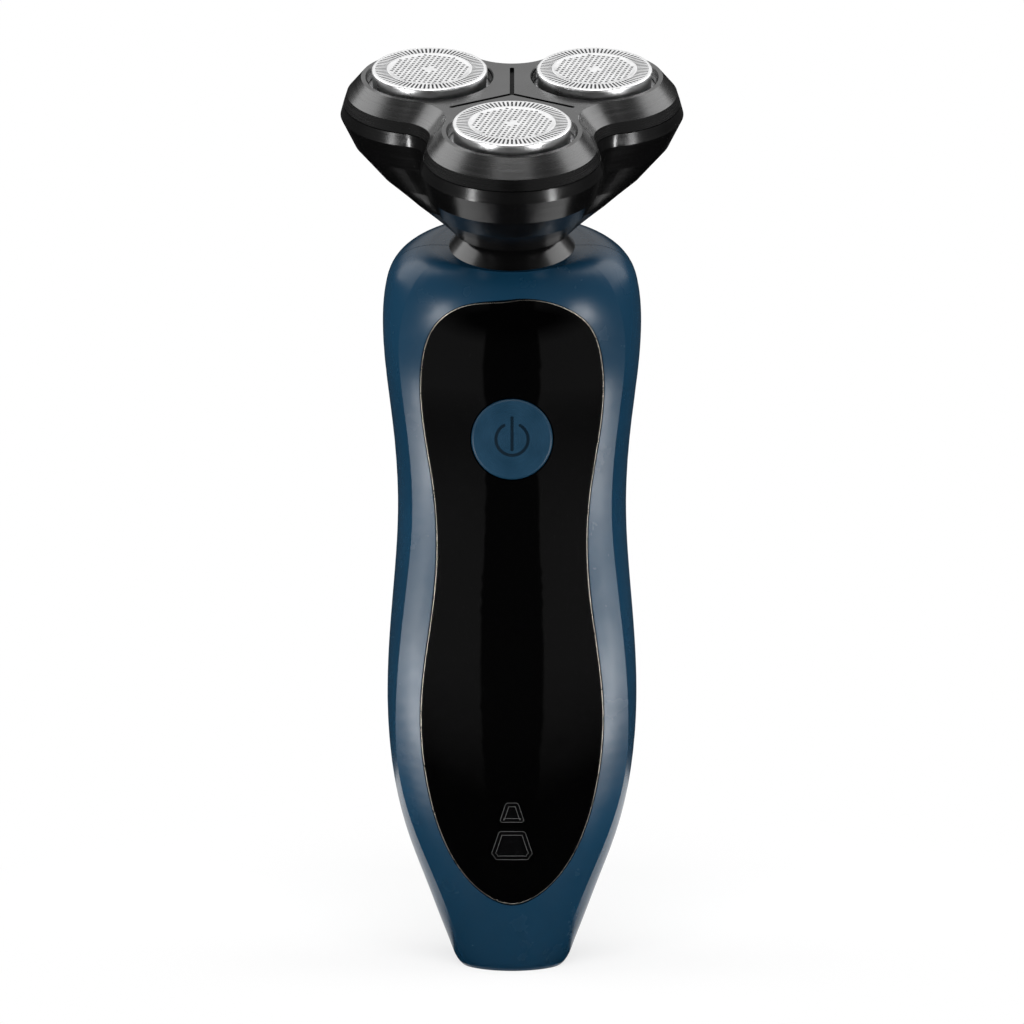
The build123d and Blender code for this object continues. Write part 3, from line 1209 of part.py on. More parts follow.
# Shaving caps: perforated disc, chrome skirt and the flange trapped under the cover
CAP_BORE = CAP_RADIUS - CAP_WALL
FOIL_BACK_DEPTH = FOIL_THICKNESS - CAP_PROUD
SLOT_OUTER = CAP_RADIUS - SLOT_RIM
HOLE_FIELD = SLOT_OUTER - SLOT_LENGTH - HOLE_FIELD_GAP
GRID_COUNT = 2 * int(HOLE_FIELD / HOLE_PITCH) + 3
HOLE_GRID = GridLocations(HOLE_PITCH, HOLE_PITCH, GRID_COUNT, GRID_COUNT)
HOLE_SPOTS = [spot for spot in HOLE_GRID if spot.position.length < HOLE_FIELD]
for lobe in LOBES:
    with BuildPart() as shaving_cap:
        with BuildSketch(cutter_level(lobe, FOIL_BACK_DEPTH)):
            Circle(CAP_RADIUS + FOIL_RIM)
            with PolarLocations(SLOT_OUTER - SLOT_LENGTH / 2, SLOT_COUNT):
                Rectangle(SLOT_LENGTH, SLOT_WIDTH, mode=Mode.SUBTRACT)
            with Locations(*HOLE_SPOTS):
                Rectangle(HOLE_SIDE, HOLE_SIDE, mode=Mode.SUBTRACT)
        extrude(amount=FOIL_THICKNESS)
        with BuildSketch(cutter_level(lobe, FOIL_BACK_DEPTH)):
            Circle(CAP_RADIUS)
            Circle(CAP_BORE, mode=Mode.SUBTRACT)
        extrude(amount=FOIL_BACK_DEPTH - FLANGE_DEPTH)
        with BuildSketch(cutter_level(lobe, FLANGE_DEPTH)):
            Circle(CAP_OPENING + FLANGE_OVERLAP)
            Circle(CAP_BORE, mode=Mode.SUBTRACT)
        extrude(amount=-FLANGE_THICKNESS)
    write(shaving_cap.part, f"shaving_cap_{lobe}")

# Inner cutters: steel disc with leaning blades, on a plastic hub that the drive shaft turns
CUTTER_RADIUS = CAP_BORE - CUTTER_WALL_GAP
BLADE_HEIGHT = CUTTER_DISC_DEPTH - FOIL_BACK_DEPTH - BLADE_GAP
BLADE_SHIFT = BLADE_HEIGHT * tan(BLADE_LEAN)
DISC_END_DEPTH = CUTTER_DISC_DEPTH + CUTTER_DISC_THICKNESS
for lobe in LOBES:
    with BuildPart() as inner_cutter:
        with BuildSketch(cutter_level(lobe, CUTTER_DISC_DEPTH)):
            Circle(CUTTER_RADIUS)
            Circle(HUB_BOSS_RADIUS, mode=Mode.SUBTRACT)
            with PolarLocations(CUTTER_WINDOW_CIRCLE, CUTTER_WINDOWS):
                Circle(CUTTER_WINDOW_RADIUS, mode=Mode.SUBTRACT)
        extrude(amount=-CUTTER_DISC_THICKNESS)
        disc_top = cutter_level(lobe, CUTTER_DISC_DEPTH)
        for blade in range(BLADE_COUNT):
            angle = 2 * pi * blade / BLADE_COUNT
            outward = disc_top.x_dir * cos(angle) + disc_top.y_dir * sin(angle)
            along = disc_top.y_dir * cos(angle) - disc_top.x_dir * sin(angle)
            foot = disc_top.origin + outward * (CUTTER_RADIUS - BLADE_LENGTH)
            with BuildSketch(Plane(origin=foot, x_dir=along, z_dir=outward)):
                with BuildLine():
                    Polyline(
                        (0, 0),
                        (BLADE_THICKNESS, 0),
                        (BLADE_THICKNESS + BLADE_SHIFT, BLADE_HEIGHT),
                        (BLADE_SHIFT, BLADE_HEIGHT),
                        close=True,
                    )
                make_face()
            extrude(amount=BLADE_LENGTH - BLADE_TRIM)
    write(inner_cutter.part, f"inner_cutter_{lobe}")

    with BuildPart() as cutter_hub:
        with BuildSketch(cutter_level(lobe, DISC_END_DEPTH)):
            Circle(HUB_RADIUS)
        extrude(amount=DISC_END_DEPTH - HUB_END_DEPTH)
        with BuildSketch(cutter_level(lobe, DISC_END_DEPTH)):
            Circle(HUB_BOSS_RADIUS)
        extrude(amount=CUTTER_DISC_THICKNESS)
        with BuildSketch(cutter_level(lobe, HUB_END_DEPTH)):
            RegularPolygon(TIP_RADIUS + TIP_FIT, 6)
        extrude(amount=HUB_END_DEPTH - SOCKET_END_DEPTH, mode=Mode.SUBTRACT)
    write(cutter_hub.part, f"cutter_hub_{lobe}")
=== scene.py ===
"""Looks of the three-disc rotary shaver: materials, perforated foils, small trim, studio and camera.

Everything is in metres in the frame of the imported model: +Z up the handle, -Y towards the front panel.
"""

import json
from math import asin, ceil, cos, pi, radians, sin

import bmesh
import bpy
from mathutils import Matrix, Vector
from mathutils.geometry import delaunay_2d_cdt


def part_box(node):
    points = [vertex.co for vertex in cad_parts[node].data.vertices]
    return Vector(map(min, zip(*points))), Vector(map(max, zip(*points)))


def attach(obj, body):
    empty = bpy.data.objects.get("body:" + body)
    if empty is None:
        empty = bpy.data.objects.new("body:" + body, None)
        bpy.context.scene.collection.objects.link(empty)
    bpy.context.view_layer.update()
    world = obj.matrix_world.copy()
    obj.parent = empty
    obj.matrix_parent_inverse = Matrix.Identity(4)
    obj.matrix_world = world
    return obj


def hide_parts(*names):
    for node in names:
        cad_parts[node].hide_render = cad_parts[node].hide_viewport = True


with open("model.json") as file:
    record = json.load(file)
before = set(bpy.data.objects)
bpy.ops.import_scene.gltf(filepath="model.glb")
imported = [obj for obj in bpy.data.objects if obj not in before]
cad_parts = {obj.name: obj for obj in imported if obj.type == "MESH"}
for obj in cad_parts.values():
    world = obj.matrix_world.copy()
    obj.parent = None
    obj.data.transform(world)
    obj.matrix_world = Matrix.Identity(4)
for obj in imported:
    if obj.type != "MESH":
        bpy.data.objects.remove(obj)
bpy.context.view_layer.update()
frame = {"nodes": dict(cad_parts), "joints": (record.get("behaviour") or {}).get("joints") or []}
nodes = frame["nodes"]
joints = {joint["name"]: joint for joint in frame["joints"]}

MM = 0.001
LOBES = ("front", "right", "left")
NECK_AXIS = Vector(joints["motor_spin"]["axis"])
PITCH_AXIS = Vector(joints["head_pitch"]["axis"])
ROLL_AXIS = Vector(joints["head_roll"]["axis"])
NECK_TILT = asin(-NECK_AXIS.y)
CAP_CENTRES = {lobe: Vector(joints[f"cutter_{lobe}_spin"]["pos_m"]) for lobe in LOBES}
HEAD_TOP = sum(CAP_CENTRES.values(), Vector()) / len(LOBES)


# Node helpers: noise lies mostly between the noise levels, and colours change between the tone levels
NOISE_LOW = 0.25
NOISE_HIGH = 0.75
TONE_LOW = 0.3
TONE_HIGH = 0.7


def new_material(name):
    """Empty node material with its shader; returns material, node tree and shader."""
    material = bpy.data.materials.new(name)
    material.use_nodes = True
    tree = material.node_tree
    shader = tree.nodes["Principled BSDF"]
    return material, tree, shader


def feed(tree, value, socket):
    """Set a socket to a number, or link it to a node's output."""
    if isinstance(value, float):
        socket.default_value = value
    else:
        tree.links.new(value, socket)


def object_coordinates(tree, stretch=(1, 1, 1), turn=(0, 0, 0)):
    """Object coordinates in metres, turned and then drawn out along each axis."""
    source = tree.nodes.new("ShaderNodeTexCoord")
    mapping = tree.nodes.new("ShaderNodeMapping")
    mapping.vector_type = "TEXTURE"
    mapping.inputs["Scale"].default_value = stretch
    mapping.inputs["Rotation"].default_value = turn
    tree.links.new(source.outputs["Object"], mapping.inputs["Vector"])
    return mapping.outputs["Vector"]


def noise(tree, vector, scale, detail=3.0, roughness=0.55):
    """Noise pattern value."""
    node = tree.nodes.new("ShaderNodeTexNoise")
    node.inputs["Scale"].default_value = scale
    node.inputs["Detail"].default_value = detail
    node.inputs["Roughness"].default_value = roughness
    tree.links.new(vector, node.inputs["Vector"])
    return node.outputs["Fac"]


def map_value(tree, value, low, high, to_low, to_high):
    """Value clamped between two levels and spread over two others."""
    node = tree.nodes.new("ShaderNodeMapRange")
    node.inputs["From Min"].default_value = low
    node.inputs["From Max"].default_value = high
    node.inputs["To Min"].default_value = to_low
    node.inputs["To Max"].default_value = to_high
    tree.links.new(value, node.inputs["Value"])
    return node.outputs["Result"]


def combine(tree, operation, one, other=0.0):
    """Two values put together; an operation on one value leaves the other unused."""
    node = tree.nodes.new("ShaderNodeMath")
    node.operation = operation
    for socket, value in zip(node.inputs, (one, other)):
        feed(tree, value, socket)
    return node.outputs["Value"]


def vector_math(tree, operation, vector, other, output="Value"):
    """A vector put together with a fixed one."""
    node = tree.nodes.new("ShaderNodeVectorMath")
    node.operation = operation
    tree.links.new(vector, node.inputs[0])
    node.inputs[1].default_value = other
    return node.outputs[output]


def shade(colour, factor):
    """A colour made lighter or darker."""
    return tuple(channel * factor for channel in colour)


def vary_colour(tree, shader, value, dark, light):
    """Base colour that wanders between two close shades."""
    ramp = tree.nodes.new("ShaderNodeValToRGB")
    levels = ((TONE_LOW, dark), (TONE_HIGH, light))
    for element, (level, colour) in zip(ramp.color_ramp.elements, levels):
        element.position = level
        element.color = (*colour, 1)
    tree.links.new(value, ramp.inputs["Fac"])
    tree.links.new(ramp.outputs["Color"], shader.inputs["Base Color"])


def vary_roughness(tree, shader, value, middle, spread):
    """Roughness that follows a noise value, a spread to each side of its middle."""
    wandering = map_value(tree, value, NOISE_LOW, NOISE_HIGH, middle - spread, middle + spread)
    tree.links.new(wandering, shader.inputs["Roughness"])


def bump(tree, shader, height, strength, distance):
    """Fine relief on the shader's normal."""
    node = tree.nodes.new("ShaderNodeBump")
    node.inputs["Strength"].default_value = strength
    node.inputs["Distance"].default_value = distance
    tree.links.new(height, node.inputs["Height"])
    tree.links.new(node.outputs["Normal"], shader.inputs["Normal"])


# Kinds of material: scales count pattern cells per metre
DRIFT_SCALE = 38.0
WEAR_SCALE = 160.0
GRAIN_DEPTH = 0.02 * MM
SATIN_DRIFT_SCALE = 60.0
LINE_SCALE = 90.0
LINE_STRETCH = (1, 1, 0.03)
LINE_RELIEF = 0.08
MARK_DEPTH = 0.01 * MM


def moulded(name, colour, roughness, spread=0.06, grain=2600.0, relief=0.15, variation=0.12, gloss=0.5):
    """Moulded plastic or rubber: slow colour drift, uneven gloss and a fine spark-eroded grain."""
    material, tree, shader = new_material(name)
    place = object_coordinates(tree)
    drift = noise(tree, place, DRIFT_SCALE, detail=2.0)
    vary_colour(tree, shader, drift, shade(colour, 1 - variation), shade(colour, 1 + variation))
    vary_roughness(tree, shader, noise(tree, place, WEAR_SCALE, detail=4.0), roughness, spread)
    bump(tree, shader, noise(tree, place, grain, detail=2.0), relief, GRAIN_DEPTH)
    shader.inputs["Specular IOR Level"].default_value = gloss
    return material


def satin(name, colour, roughness, spread, gloss):
    """Satin plastic with fine lines drawn round the neck axis."""
    material, tree, shader = new_material(name)
    drift = noise(tree, object_coordinates(tree), SATIN_DRIFT_SCALE)
    vary_colour(tree, shader, drift, shade(colour, 0.85), shade(colour, 1.15))
    along_lines = object_coordinates(tree, LINE_STRETCH, (NECK_TILT, 0, 0))
    lines = noise(tree, along_lines, LINE_SCALE, detail=4.0, roughness=0.6)
    vary_roughness(tree, shader, lines, roughness, spread)
    bump(tree, shader, lines, LINE_RELIEF, GRAIN_DEPTH)
    shader.inputs["Specular IOR Level"].default_value = gloss
    return material


def metal(name, colour, roughness, stretch=(1, 1, 1), grain=900.0, relief=0.1, spread=0.07):
    """Bare metal with grinding marks, which may be drawn out along an axis."""
    material, tree, shader = new_material(name)
    marks = noise(tree, object_coordinates(tree, stretch), grain, detail=4.0, roughness=0.65)
    vary_colour(tree, shader, marks, shade(colour, 0.9), shade(colour, 1.06))
    vary_roughness(tree, shader, marks, roughness, spread)
    bump(tree, shader, marks, relief, MARK_DEPTH)
    shader.inputs["Metallic"].default_value = 1.0
    return material


# Painted shade in the head cover's recesses: how far below its top face and how near its middle they begin,
# and the low gloss that darkens them
RECESS_DEPTH = 0.2 * MM
RECESS_REACH = 13.4 * MM
RECESS_SHADE_GLOSS = 0.02


def paint_recess_shade(material, gloss):
    """Painted shade: grooves and cap openings of the cover, below its top face near the middle, lose their
    sheen so that they look shaded.
    """
    tree = material.node_tree
    place = object_coordinates(tree)
    from_top = vector_math(tree, "SUBTRACT", place, HEAD_TOP, "Vector")
    height = vector_math(tree, "DOT_PRODUCT", from_top, NECK_AXIS)
    distance = vector_math(tree, "DISTANCE", place, HEAD_TOP)
    below = map_value(tree, height, -RECESS_DEPTH, -RECESS_DEPTH / 2, 1.0, 0.0)
    inside = map_value(tree, distance, RECESS_REACH, RECESS_REACH + RECESS_DEPTH, 1.0, 0.0)
    # painted shade: the cover's specular level falls to a low gloss in its recesses
    shaded = combine(tree, "MULTIPLY", below, inside)
    level = map_value(tree, shaded, 0.0, 1.0, gloss, RECESS_SHADE_GLOSS)
    tree.links.new(level, tree.nodes["Principled BSDF"].inputs["Specular IOR Level"])


# Painting and smoothing: edges sharper than an angle in degrees stay sharp
SHARP_ANGLE = 35.0
TURNED_SHARP_ANGLE = 50.0
BEAD_SHARP_ANGLE = 80.0


def paint(material, *names):
    """Give CAD nodes one material in all their slots."""
    for name in names:
        slots = nodes[name].data.materials
        slots.clear()
        slots.append(material)


def smooth(obj, angle=SHARP_ANGLE):
    """Smooth shading that keeps edges sharper than an angle."""
    for polygon in obj.data.polygons:
        polygon.use_smooth = True
    obj.data.set_sharp_from_angle(angle=radians(angle))


# Materials of the outside
HANDLE_BLUE = (0.0045, 0.033, 0.068)
BUTTON_BLUE = (0.0042, 0.031, 0.062)
HEAD_BLACK = (0.003, 0.003, 0.0031)
HEAD_GLOSS = 0.6
COVER_GLOSS = 1.0
PANEL_BLACK = (0.0012, 0.0012, 0.0013)
LENS_GREY = (0.0022, 0.0022, 0.0024)

handle_blue = moulded("handle_blue", HANDLE_BLUE, 0.26, spread=0.03, relief=0.05, gloss=0.3)
head_black = satin("head_black", HEAD_BLACK, 0.2, 0.05, HEAD_GLOSS)
cover_black = satin("cover_black", HEAD_BLACK, 0.26, 0.05, COVER_GLOSS)
# painted shade in the cover's grooves and cap openings
paint_recess_shade(cover_black, COVER_GLOSS)
panel_black = moulded("panel_black", PANEL_BLACK, 0.05, spread=0.02, grain=400.0, relief=0.01)
lens_smoke = moulded("lens_smoke", LENS_GREY, 0.08, spread=0.02, grain=500.0, relief=0.02)

paint(handle_blue, "front_housing", "rear_housing")
paint(head_black, "head_base", "neck_collar")
paint(cover_black, "head_cover")
paint(panel_black, "front_panel")
paint(lens_smoke, "upper_indicator_lens", "lower_indicator_lens")

# Materials of the inside
white_acetal = moulded("white_acetal", (0.72, 0.72, 0.69), 0.42, variation=0.04)
gear_acetal = moulded("gear_acetal", (0.66, 0.65, 0.58), 0.38, variation=0.05)
inner_black = moulded("inner_black", (0.018, 0.018, 0.018), 0.5, relief=0.3)
inner_grey = moulded("inner_grey", (0.10, 0.105, 0.11), 0.5, relief=0.3)
seal_rubber = moulded("seal_rubber", (0.015, 0.015, 0.015), 0.62, relief=0.3)
membrane_rubber = moulded("membrane_rubber", (0.09, 0.10, 0.11), 0.6, relief=0.25)
board_green = moulded("board_green", (0.008, 0.075, 0.028), 0.33, grain=900.0, variation=0.25)
battery_sleeve = moulded("battery_sleeve", (0.02, 0.11, 0.045), 0.3, variation=0.1)
led_resin = moulded("led_resin", (0.7, 0.69, 0.6), 0.2, variation=0.03)
shaft_steel = metal("shaft_steel", (0.56, 0.57, 0.58), 0.25, stretch=(1, 1, 12))
screw_steel = metal("screw_steel", (0.5, 0.5, 0.5), 0.32)
motor_steel = metal("motor_steel", (0.55, 0.55, 0.56), 0.34, stretch=(7, 7, 1))
cutter_steel = metal("cutter_steel", (0.52, 0.53, 0.54), 0.3)
nickel = metal("nickel", (0.62, 0.58, 0.5), 0.26)

paint(white_acetal, *[f"cutter_hub_{lobe}" for lobe in LOBES])
paint(gear_acetal, "sun_gear", "drive_coupling", *[f"planet_gear_{lobe}" for lobe in LOBES])
paint(inner_black, "retaining_frame", "lock_knob", "gear_cover")
paint(inner_black, "motor_bracket", "motor_end_cap", "tact_switch")
paint(inner_grey, "inner_chassis", "swivel_ring")
paint(seal_rubber, "collar_seal", "shaft_seal")
paint(membrane_rubber, "button_membrane")
paint(board_green, "circuit_board", "charging_board")
paint(battery_sleeve, "battery")
paint(led_resin, "indicator_leds")
paint(shaft_steel, "pitch_pins", "roll_pins", "coupling_pin", "motor_shaft")
paint(shaft_steel, *[f"{part}_{lobe}" for part in ("drive_shaft", "shaft_spring") for lobe in LOBES])
paint(screw_steel, "housing_screws", "gear_cover_screws", "collar_screws", "motor_screws")
paint(motor_steel, "motor_can")
paint(cutter_steel, *[f"inner_cutter_{lobe}" for lobe in LOBES])
paint(nickel, "battery_tabs", "charging_socket")

for node in nodes.values():
    smooth(node)


# Pieces and meshes
RIM_STEPS = 120


def add_object(name, data):
    """New object in the scene."""
    obj = bpy.data.objects.new(name, data)
    bpy.context.scene.collection.objects.link(obj)
    return obj


def new_piece(name, mesh_data, material, body):
    """A piece with its material, riding on a CAD body."""
    obj = add_object(name, mesh_data)
    obj.data.materials.append(material)
    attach(obj, body)
    return obj


def mesh_from(name, vertices, faces):
    """Mesh with its normals facing out."""
    data = bpy.data.meshes.new(name)
    data.from_pydata(vertices, [], faces)
    shell = bmesh.new()
    shell.from_mesh(data)
    bmesh.ops.recalc_face_normals(shell, faces=shell.faces)
    shell.to_mesh(data)
    shell.free()
    return data


def ring_points(radius, steps):
    """Points round a circle in the plane."""
    angles = [2 * pi * step / steps for step in range(steps)]
    return [Vector((radius * cos(angle), radius * sin(angle))) for angle in angles]


def turned_mesh(name, rings, closed=False):
    """Mesh turned about local Z through (radius, height) rings, open at both ends or closed to a tube."""
    vertices = []
    faces = []
    for radius, height in rings:
        vertices += [(point.x, point.y, height) for point in ring_points(radius, RIM_STEPS)]
    for ring in range(len(rings) if closed else len(rings) - 1):
        this = ring * RIM_STEPS
        following = (ring + 1) % len(rings) * RIM_STEPS
        for step in range(RIM_STEPS):
            after = (step + 1) % RIM_STEPS
            faces.append((this + step, this + after, following + after, following + step))
    return mesh_from(name, vertices, faces)


# Shaving foils: a ring of radial slots round a field of small square holes, pressed from thin steel
FOIL_RADIUS = 10.45 * MM
FOIL_THICKNESS = 0.35 * MM
FOIL_HEIGHT = 1.5 * MM
FOIL_UNDER = FOIL_HEIGHT - FOIL_THICKNESS
FOIL_EDGE_ROUND = 0.3 * MM
FOIL_FLAT_RADIUS = FOIL_RADIUS - FOIL_EDGE_ROUND
EDGE_STEPS = 4
DISH_RADIUS = 7.15 * MM
DISH_DEPTH = 0.12 * MM
DISH_BLEND = 0.5 * MM
SLOT_COUNT = 76
SLOT_INNER = 7.7 * MM
SLOT_OUTER = 9.8 * MM
SLOT_WIDTH = 0.36 * MM
HOLE_PITCH = 0.9 * MM
HOLE_SIDE = 0.5 * MM
HOLE_FIELD = 7.0 * MM
HOLE_TURN = radians(-16.0)
CENTRE_LAND = 1.0 * MM
RIM_DROP = 0.15 * MM
SKIRT_RADIUS = 10.3 * MM
SKIRT_WALL = 0.45 * MM
SKIRT_BORE = SKIRT_RADIUS - SKIRT_WALL
SKIRT_TOP = FOIL_UNDER - RIM_DROP
FLANGE_RADIUS = 12.0 * MM
FLANGE_TOP = -2.2 * MM
FLANGE_THICKNESS = 0.6 * MM
INSIDE_WITHOUT_HOLES = 2
MERGE_DISTANCE = 1e-7
FOIL_DARK = (0.86, 0.86, 0.863)
FOIL_LIGHT = (0.97, 0.97, 0.973)
FOIL_CLOUD_SCALE = 420.0
FOIL_GRAIN_SCALE = 3200.0
FOIL_RELIEF = 0.25


def slot_corners(angle):
    """Corners of one radial slot."""
    outward = Vector((cos(angle), sin(angle)))
    across = Vector((-sin(angle), cos(angle))) * (SLOT_WIDTH / 2)
    return [
        outward * SLOT_INNER - across,
        outward * SLOT_OUTER - across,
        outward * SLOT_OUTER + across,
        outward * SLOT_INNER + across,
    ]


def hole_corners(x, y):
    """Corners of one square hole of the turned grid."""
    half = HOLE_SIDE / 2
    turn = Matrix.Rotation(HOLE_TURN, 2)
    corners = ((-1, -1), (1, -1), (1, 1), (-1, 1))
    return [turn @ Vector((x + i * half, y + j * half)) for i, j in corners]


def foil_openings():
    """Outlines of all slots and holes of one foil."""
    openings = [slot_corners(2 * pi * slot / SLOT_COUNT) for slot in range(SLOT_COUNT)]
    reach = ceil(HOLE_FIELD / HOLE_PITCH)
    for row in range(-reach, reach + 1):
        for column in range(-reach, reach + 1):
            x = column * HOLE_PITCH
            y = row * HOLE_PITCH
            if CENTRE_LAND < Vector((x, y)).length < HOLE_FIELD:
                openings.append(hole_corners(x, y))
    return openings


def dish(point):
    """Height of the foil's top face: the hole field lies a little lower than the slotted ring."""
    blend = (point.length - DISH_RADIUS) / DISH_BLEND + 0.5
    blend = min(max(blend, 0.0), 1.0)
    return FOIL_HEIGHT - DISH_DEPTH * (1 - blend * blend * (3 - 2 * blend))


def foil_mesh(name):
    """Perforated foil as one closed sheet."""
    points = []
    loops = []
    outlines = [ring_points(FOIL_FLAT_RADIUS, RIM_STEPS)] + foil_openings()
    for outline in outlines:
        start = len(points)
        points.extend(outline)
        loops.append(list(range(start, len(points))))
    for radius in (DISH_RADIUS - DISH_BLEND / 2, DISH_RADIUS + DISH_BLEND / 2):
        points.extend(ring_points(radius, RIM_STEPS))
    flat, _, triangles = delaunay_2d_cdt(points, [], loops, INSIDE_WITHOUT_HOLES, MERGE_DISTANCE)[:3]
    vertices = [(point.x, point.y, dish(point)) for point in flat]
    data = bpy.data.meshes.new(name)
    data.from_pydata(vertices, [], triangles)
    sheet = bmesh.new()
    sheet.from_mesh(data)
    bmesh.ops.recalc_face_normals(sheet, faces=sheet.faces)
    if sum(face.normal.z for face in sheet.faces) < 0:
        bmesh.ops.reverse_faces(sheet, faces=sheet.faces)
    top = list(sheet.faces)
    grown = bmesh.ops.extrude_face_region(sheet, geom=top, use_keep_orig=True)
    lower = [item for item in grown["geom"] if isinstance(item, bmesh.types.BMVert)]
    bmesh.ops.translate(sheet, vec=(0, 0, -FOIL_THICKNESS), verts=lower)
    bmesh.ops.recalc_face_normals(sheet, faces=sheet.faces)
    sheet.to_mesh(data)
    sheet.free()
    return data


def rim_mesh(name):
    """Rounded rim that the foil is rolled over."""
    shoulder = FOIL_HEIGHT - FOIL_EDGE_ROUND
    rings = []
    for step in range(EDGE_STEPS + 1):
        angle = 0.5 * pi * step / EDGE_STEPS
        rings.append((
            FOIL_FLAT_RADIUS + FOIL_EDGE_ROUND * sin(angle),
            shoulder + FOIL_EDGE_ROUND * cos(angle),
        ))
    rings += [
        (FOIL_RADIUS, SKIRT_TOP),
        (SKIRT_RADIUS, SKIRT_TOP),
        (SKIRT_RADIUS, FOIL_UNDER),
        (FOIL_FLAT_RADIUS, FOIL_UNDER),
    ]
    return turned_mesh(name, rings)


def skirt_mesh(name):
    """Chrome skirt under the rim."""
    rings = [
        (SKIRT_RADIUS, SKIRT_TOP),
        (SKIRT_RADIUS, FLANGE_TOP),
        (SKIRT_BORE, FLANGE_TOP),
        (SKIRT_BORE, FOIL_UNDER),
    ]
    return turned_mesh(name, rings)


def flange_mesh(name):
    """Flange at the skirt's foot that the cover keeps in."""
    low = FLANGE_TOP - FLANGE_THICKNESS
    rings = [
        (FLANGE_RADIUS, FLANGE_TOP),
        (FLANGE_RADIUS, low),
        (SKIRT_BORE, low),
        (SKIRT_BORE, FLANGE_TOP),
    ]
    return turned_mesh(name, rings, closed=True)


def foil_steel():
    """Satin foil steel with a cloudy tone and a fine grain."""
    material, tree, shader = new_material("foil_steel")
    place = object_coordinates(tree)
    cloud = noise(tree, place, FOIL_CLOUD_SCALE, detail=5.0, roughness=0.6)
    vary_colour(tree, shader, cloud, FOIL_DARK, FOIL_LIGHT)
    vary_roughness(tree, shader, cloud, 0.36, 0.08)
    bump(tree, shader, noise(tree, place, FOIL_GRAIN_SCALE), FOIL_RELIEF, GRAIN_DEPTH)
    shader.inputs["Metallic"].default_value = 1.0
    return material


def cap_place(lobe):
    """Matrix from a cap's own axes to the model's frame."""
    turn = Matrix((PITCH_AXIS, ROLL_AXIS, NECK_AXIS)).transposed().to_4x4()
    return Matrix.Translation(CAP_CENTRES[lobe]) @ turn


def cap_piece(kind, lobe, build_mesh, material):
    """One piece of a shaving cap, in its place on the cap's body."""
    name = f"{kind}_{lobe}"
    data = build_mesh(name)
    data.transform(cap_place(lobe))
    return new_piece(name, data, material, f"cap_{lobe}")


foil_material = foil_steel()
skirt_chrome = metal("skirt_chrome", (0.86, 0.865, 0.87), 0.3, grain=300.0, relief=0.02, spread=0.05)
cap_flanges = []
for lobe in LOBES:
    foil_piece = cap_piece("foil", lobe, foil_mesh, foil_material)
    rim_piece = cap_piece("foil_rim", lobe, rim_mesh, foil_material)
    skirt_piece = cap_piece("cap_skirt", lobe, skirt_mesh, skirt_chrome)
    flange_piece = cap_piece("cap_flange", lobe, flange_mesh, skirt_chrome)
    smooth(rim_piece)
    smooth(skirt_piece, TURNED_SHARP_ANGLE)
    smooth(flange_piece, TURNED_SHARP_ANGLE)
    cap_flanges.append(flange_piece)
    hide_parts(f"shaving_cap_{lobe}")


# Power button: fine turned rings on its face
BUTTON_LOW, BUTTON_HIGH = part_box("power_button")
BUTTON_CENTRE = (BUTTON_LOW + BUTTON_HIGH) / 2
BUTTON_FACE = BUTTON_LOW.y
BUTTON_DRIFT_SCALE = 220.0
BUTTON_GLOSS = 0.3
RING_PITCH = 0.45 * MM
RING_RELIEF = 0.3
RING_DEPTH = 0.03 * MM


def button_material():
    """Blue plastic with fine turned rings round the button's axis."""
    material, tree, shader = new_material("button_blue")
    place = object_coordinates(tree)
    flat = vector_math(tree, "MULTIPLY", place, (1, 0, 1), "Vector")
    radius = vector_math(tree, "DISTANCE", flat, (BUTTON_CENTRE.x, 0, BUTTON_CENTRE.z))
    turns = combine(tree, "MULTIPLY", radius, 2 * pi / RING_PITCH)
    drift = noise(tree, place, BUTTON_DRIFT_SCALE, detail=4.0)
    vary_colour(tree, shader, drift, shade(BUTTON_BLUE, 0.86), shade(BUTTON_BLUE, 1.16))
    vary_roughness(tree, shader, drift, 0.4, 0.06)
    bump(tree, shader, combine(tree, "SINE", turns), RING_RELIEF, RING_DEPTH)
    shader.inputs["Specular IOR Level"].default_value = BUTTON_GLOSS
    return material


paint(button_material(), "power_button")

# Power sign on the button, its engraved strokes painted darker to stand in for their shade: the gap is half
# the opening of its ring
SIGN_RADIUS = 2.9 * MM
SIGN_STROKE = 0.55 * MM
SIGN_GAP = radians(30.0)
SIGN_STEPS = 48
SIGN_END_STEPS = 6
SIGN_BAR_TOP = 3.9 * MM
SIGN_BAR_FOOT = -1.9 * MM
SIGN_LIFT = 0.012 * MM
SIGN_SINK = 0.1 * MM
SIGN_PAINTED_SHADE = 0.3


def sign_paths():
    """The broken ring and the bar of the common power sign."""
    sweep = 2 * pi - 2 * SIGN_GAP
    ring = []
    for step in range(SIGN_STEPS + 1):
        angle = pi / 2 + SIGN_GAP + sweep * step / SIGN_STEPS
        ring.append(Vector((SIGN_RADIUS * cos(angle), SIGN_RADIUS * sin(angle))))
    bar_middle = (SIGN_BAR_FOOT + SIGN_BAR_TOP) / 2
    bar = [Vector((0, height)) for height in (SIGN_BAR_FOOT, bar_middle, SIGN_BAR_TOP)]
    return [ring, bar]


def round_end(centre, direction, radius):
    """Points of a half circle past the end of a stroke."""
    side = Vector((-direction.y, direction.x))
    points = []
    for step in range(1, SIGN_END_STEPS):
        angle = pi * step / SIGN_END_STEPS
        points.append(centre + side * (radius * cos(angle)) + direction * (radius * sin(angle)))
    return points


def stroke_outline(path):
    """Outline of a stroke with round ends along a path."""
    half = SIGN_STROKE / 2
    left = []
    right = []
    for index, point in enumerate(path):
        before = path[max(index - 1, 0)]
        after = path[min(index + 1, len(path) - 1)]
        along = (after - before).normalized()
        across = Vector((-along.y, along.x)) * half
        left.append(point + across)
        right.append(point - across)
    first = (path[0] - path[1]).normalized()
    last = (path[-1] - path[-2]).normalized()
    outline = left + round_end(path[-1], last, half)
    return outline + right[::-1] + round_end(path[0], first, half)


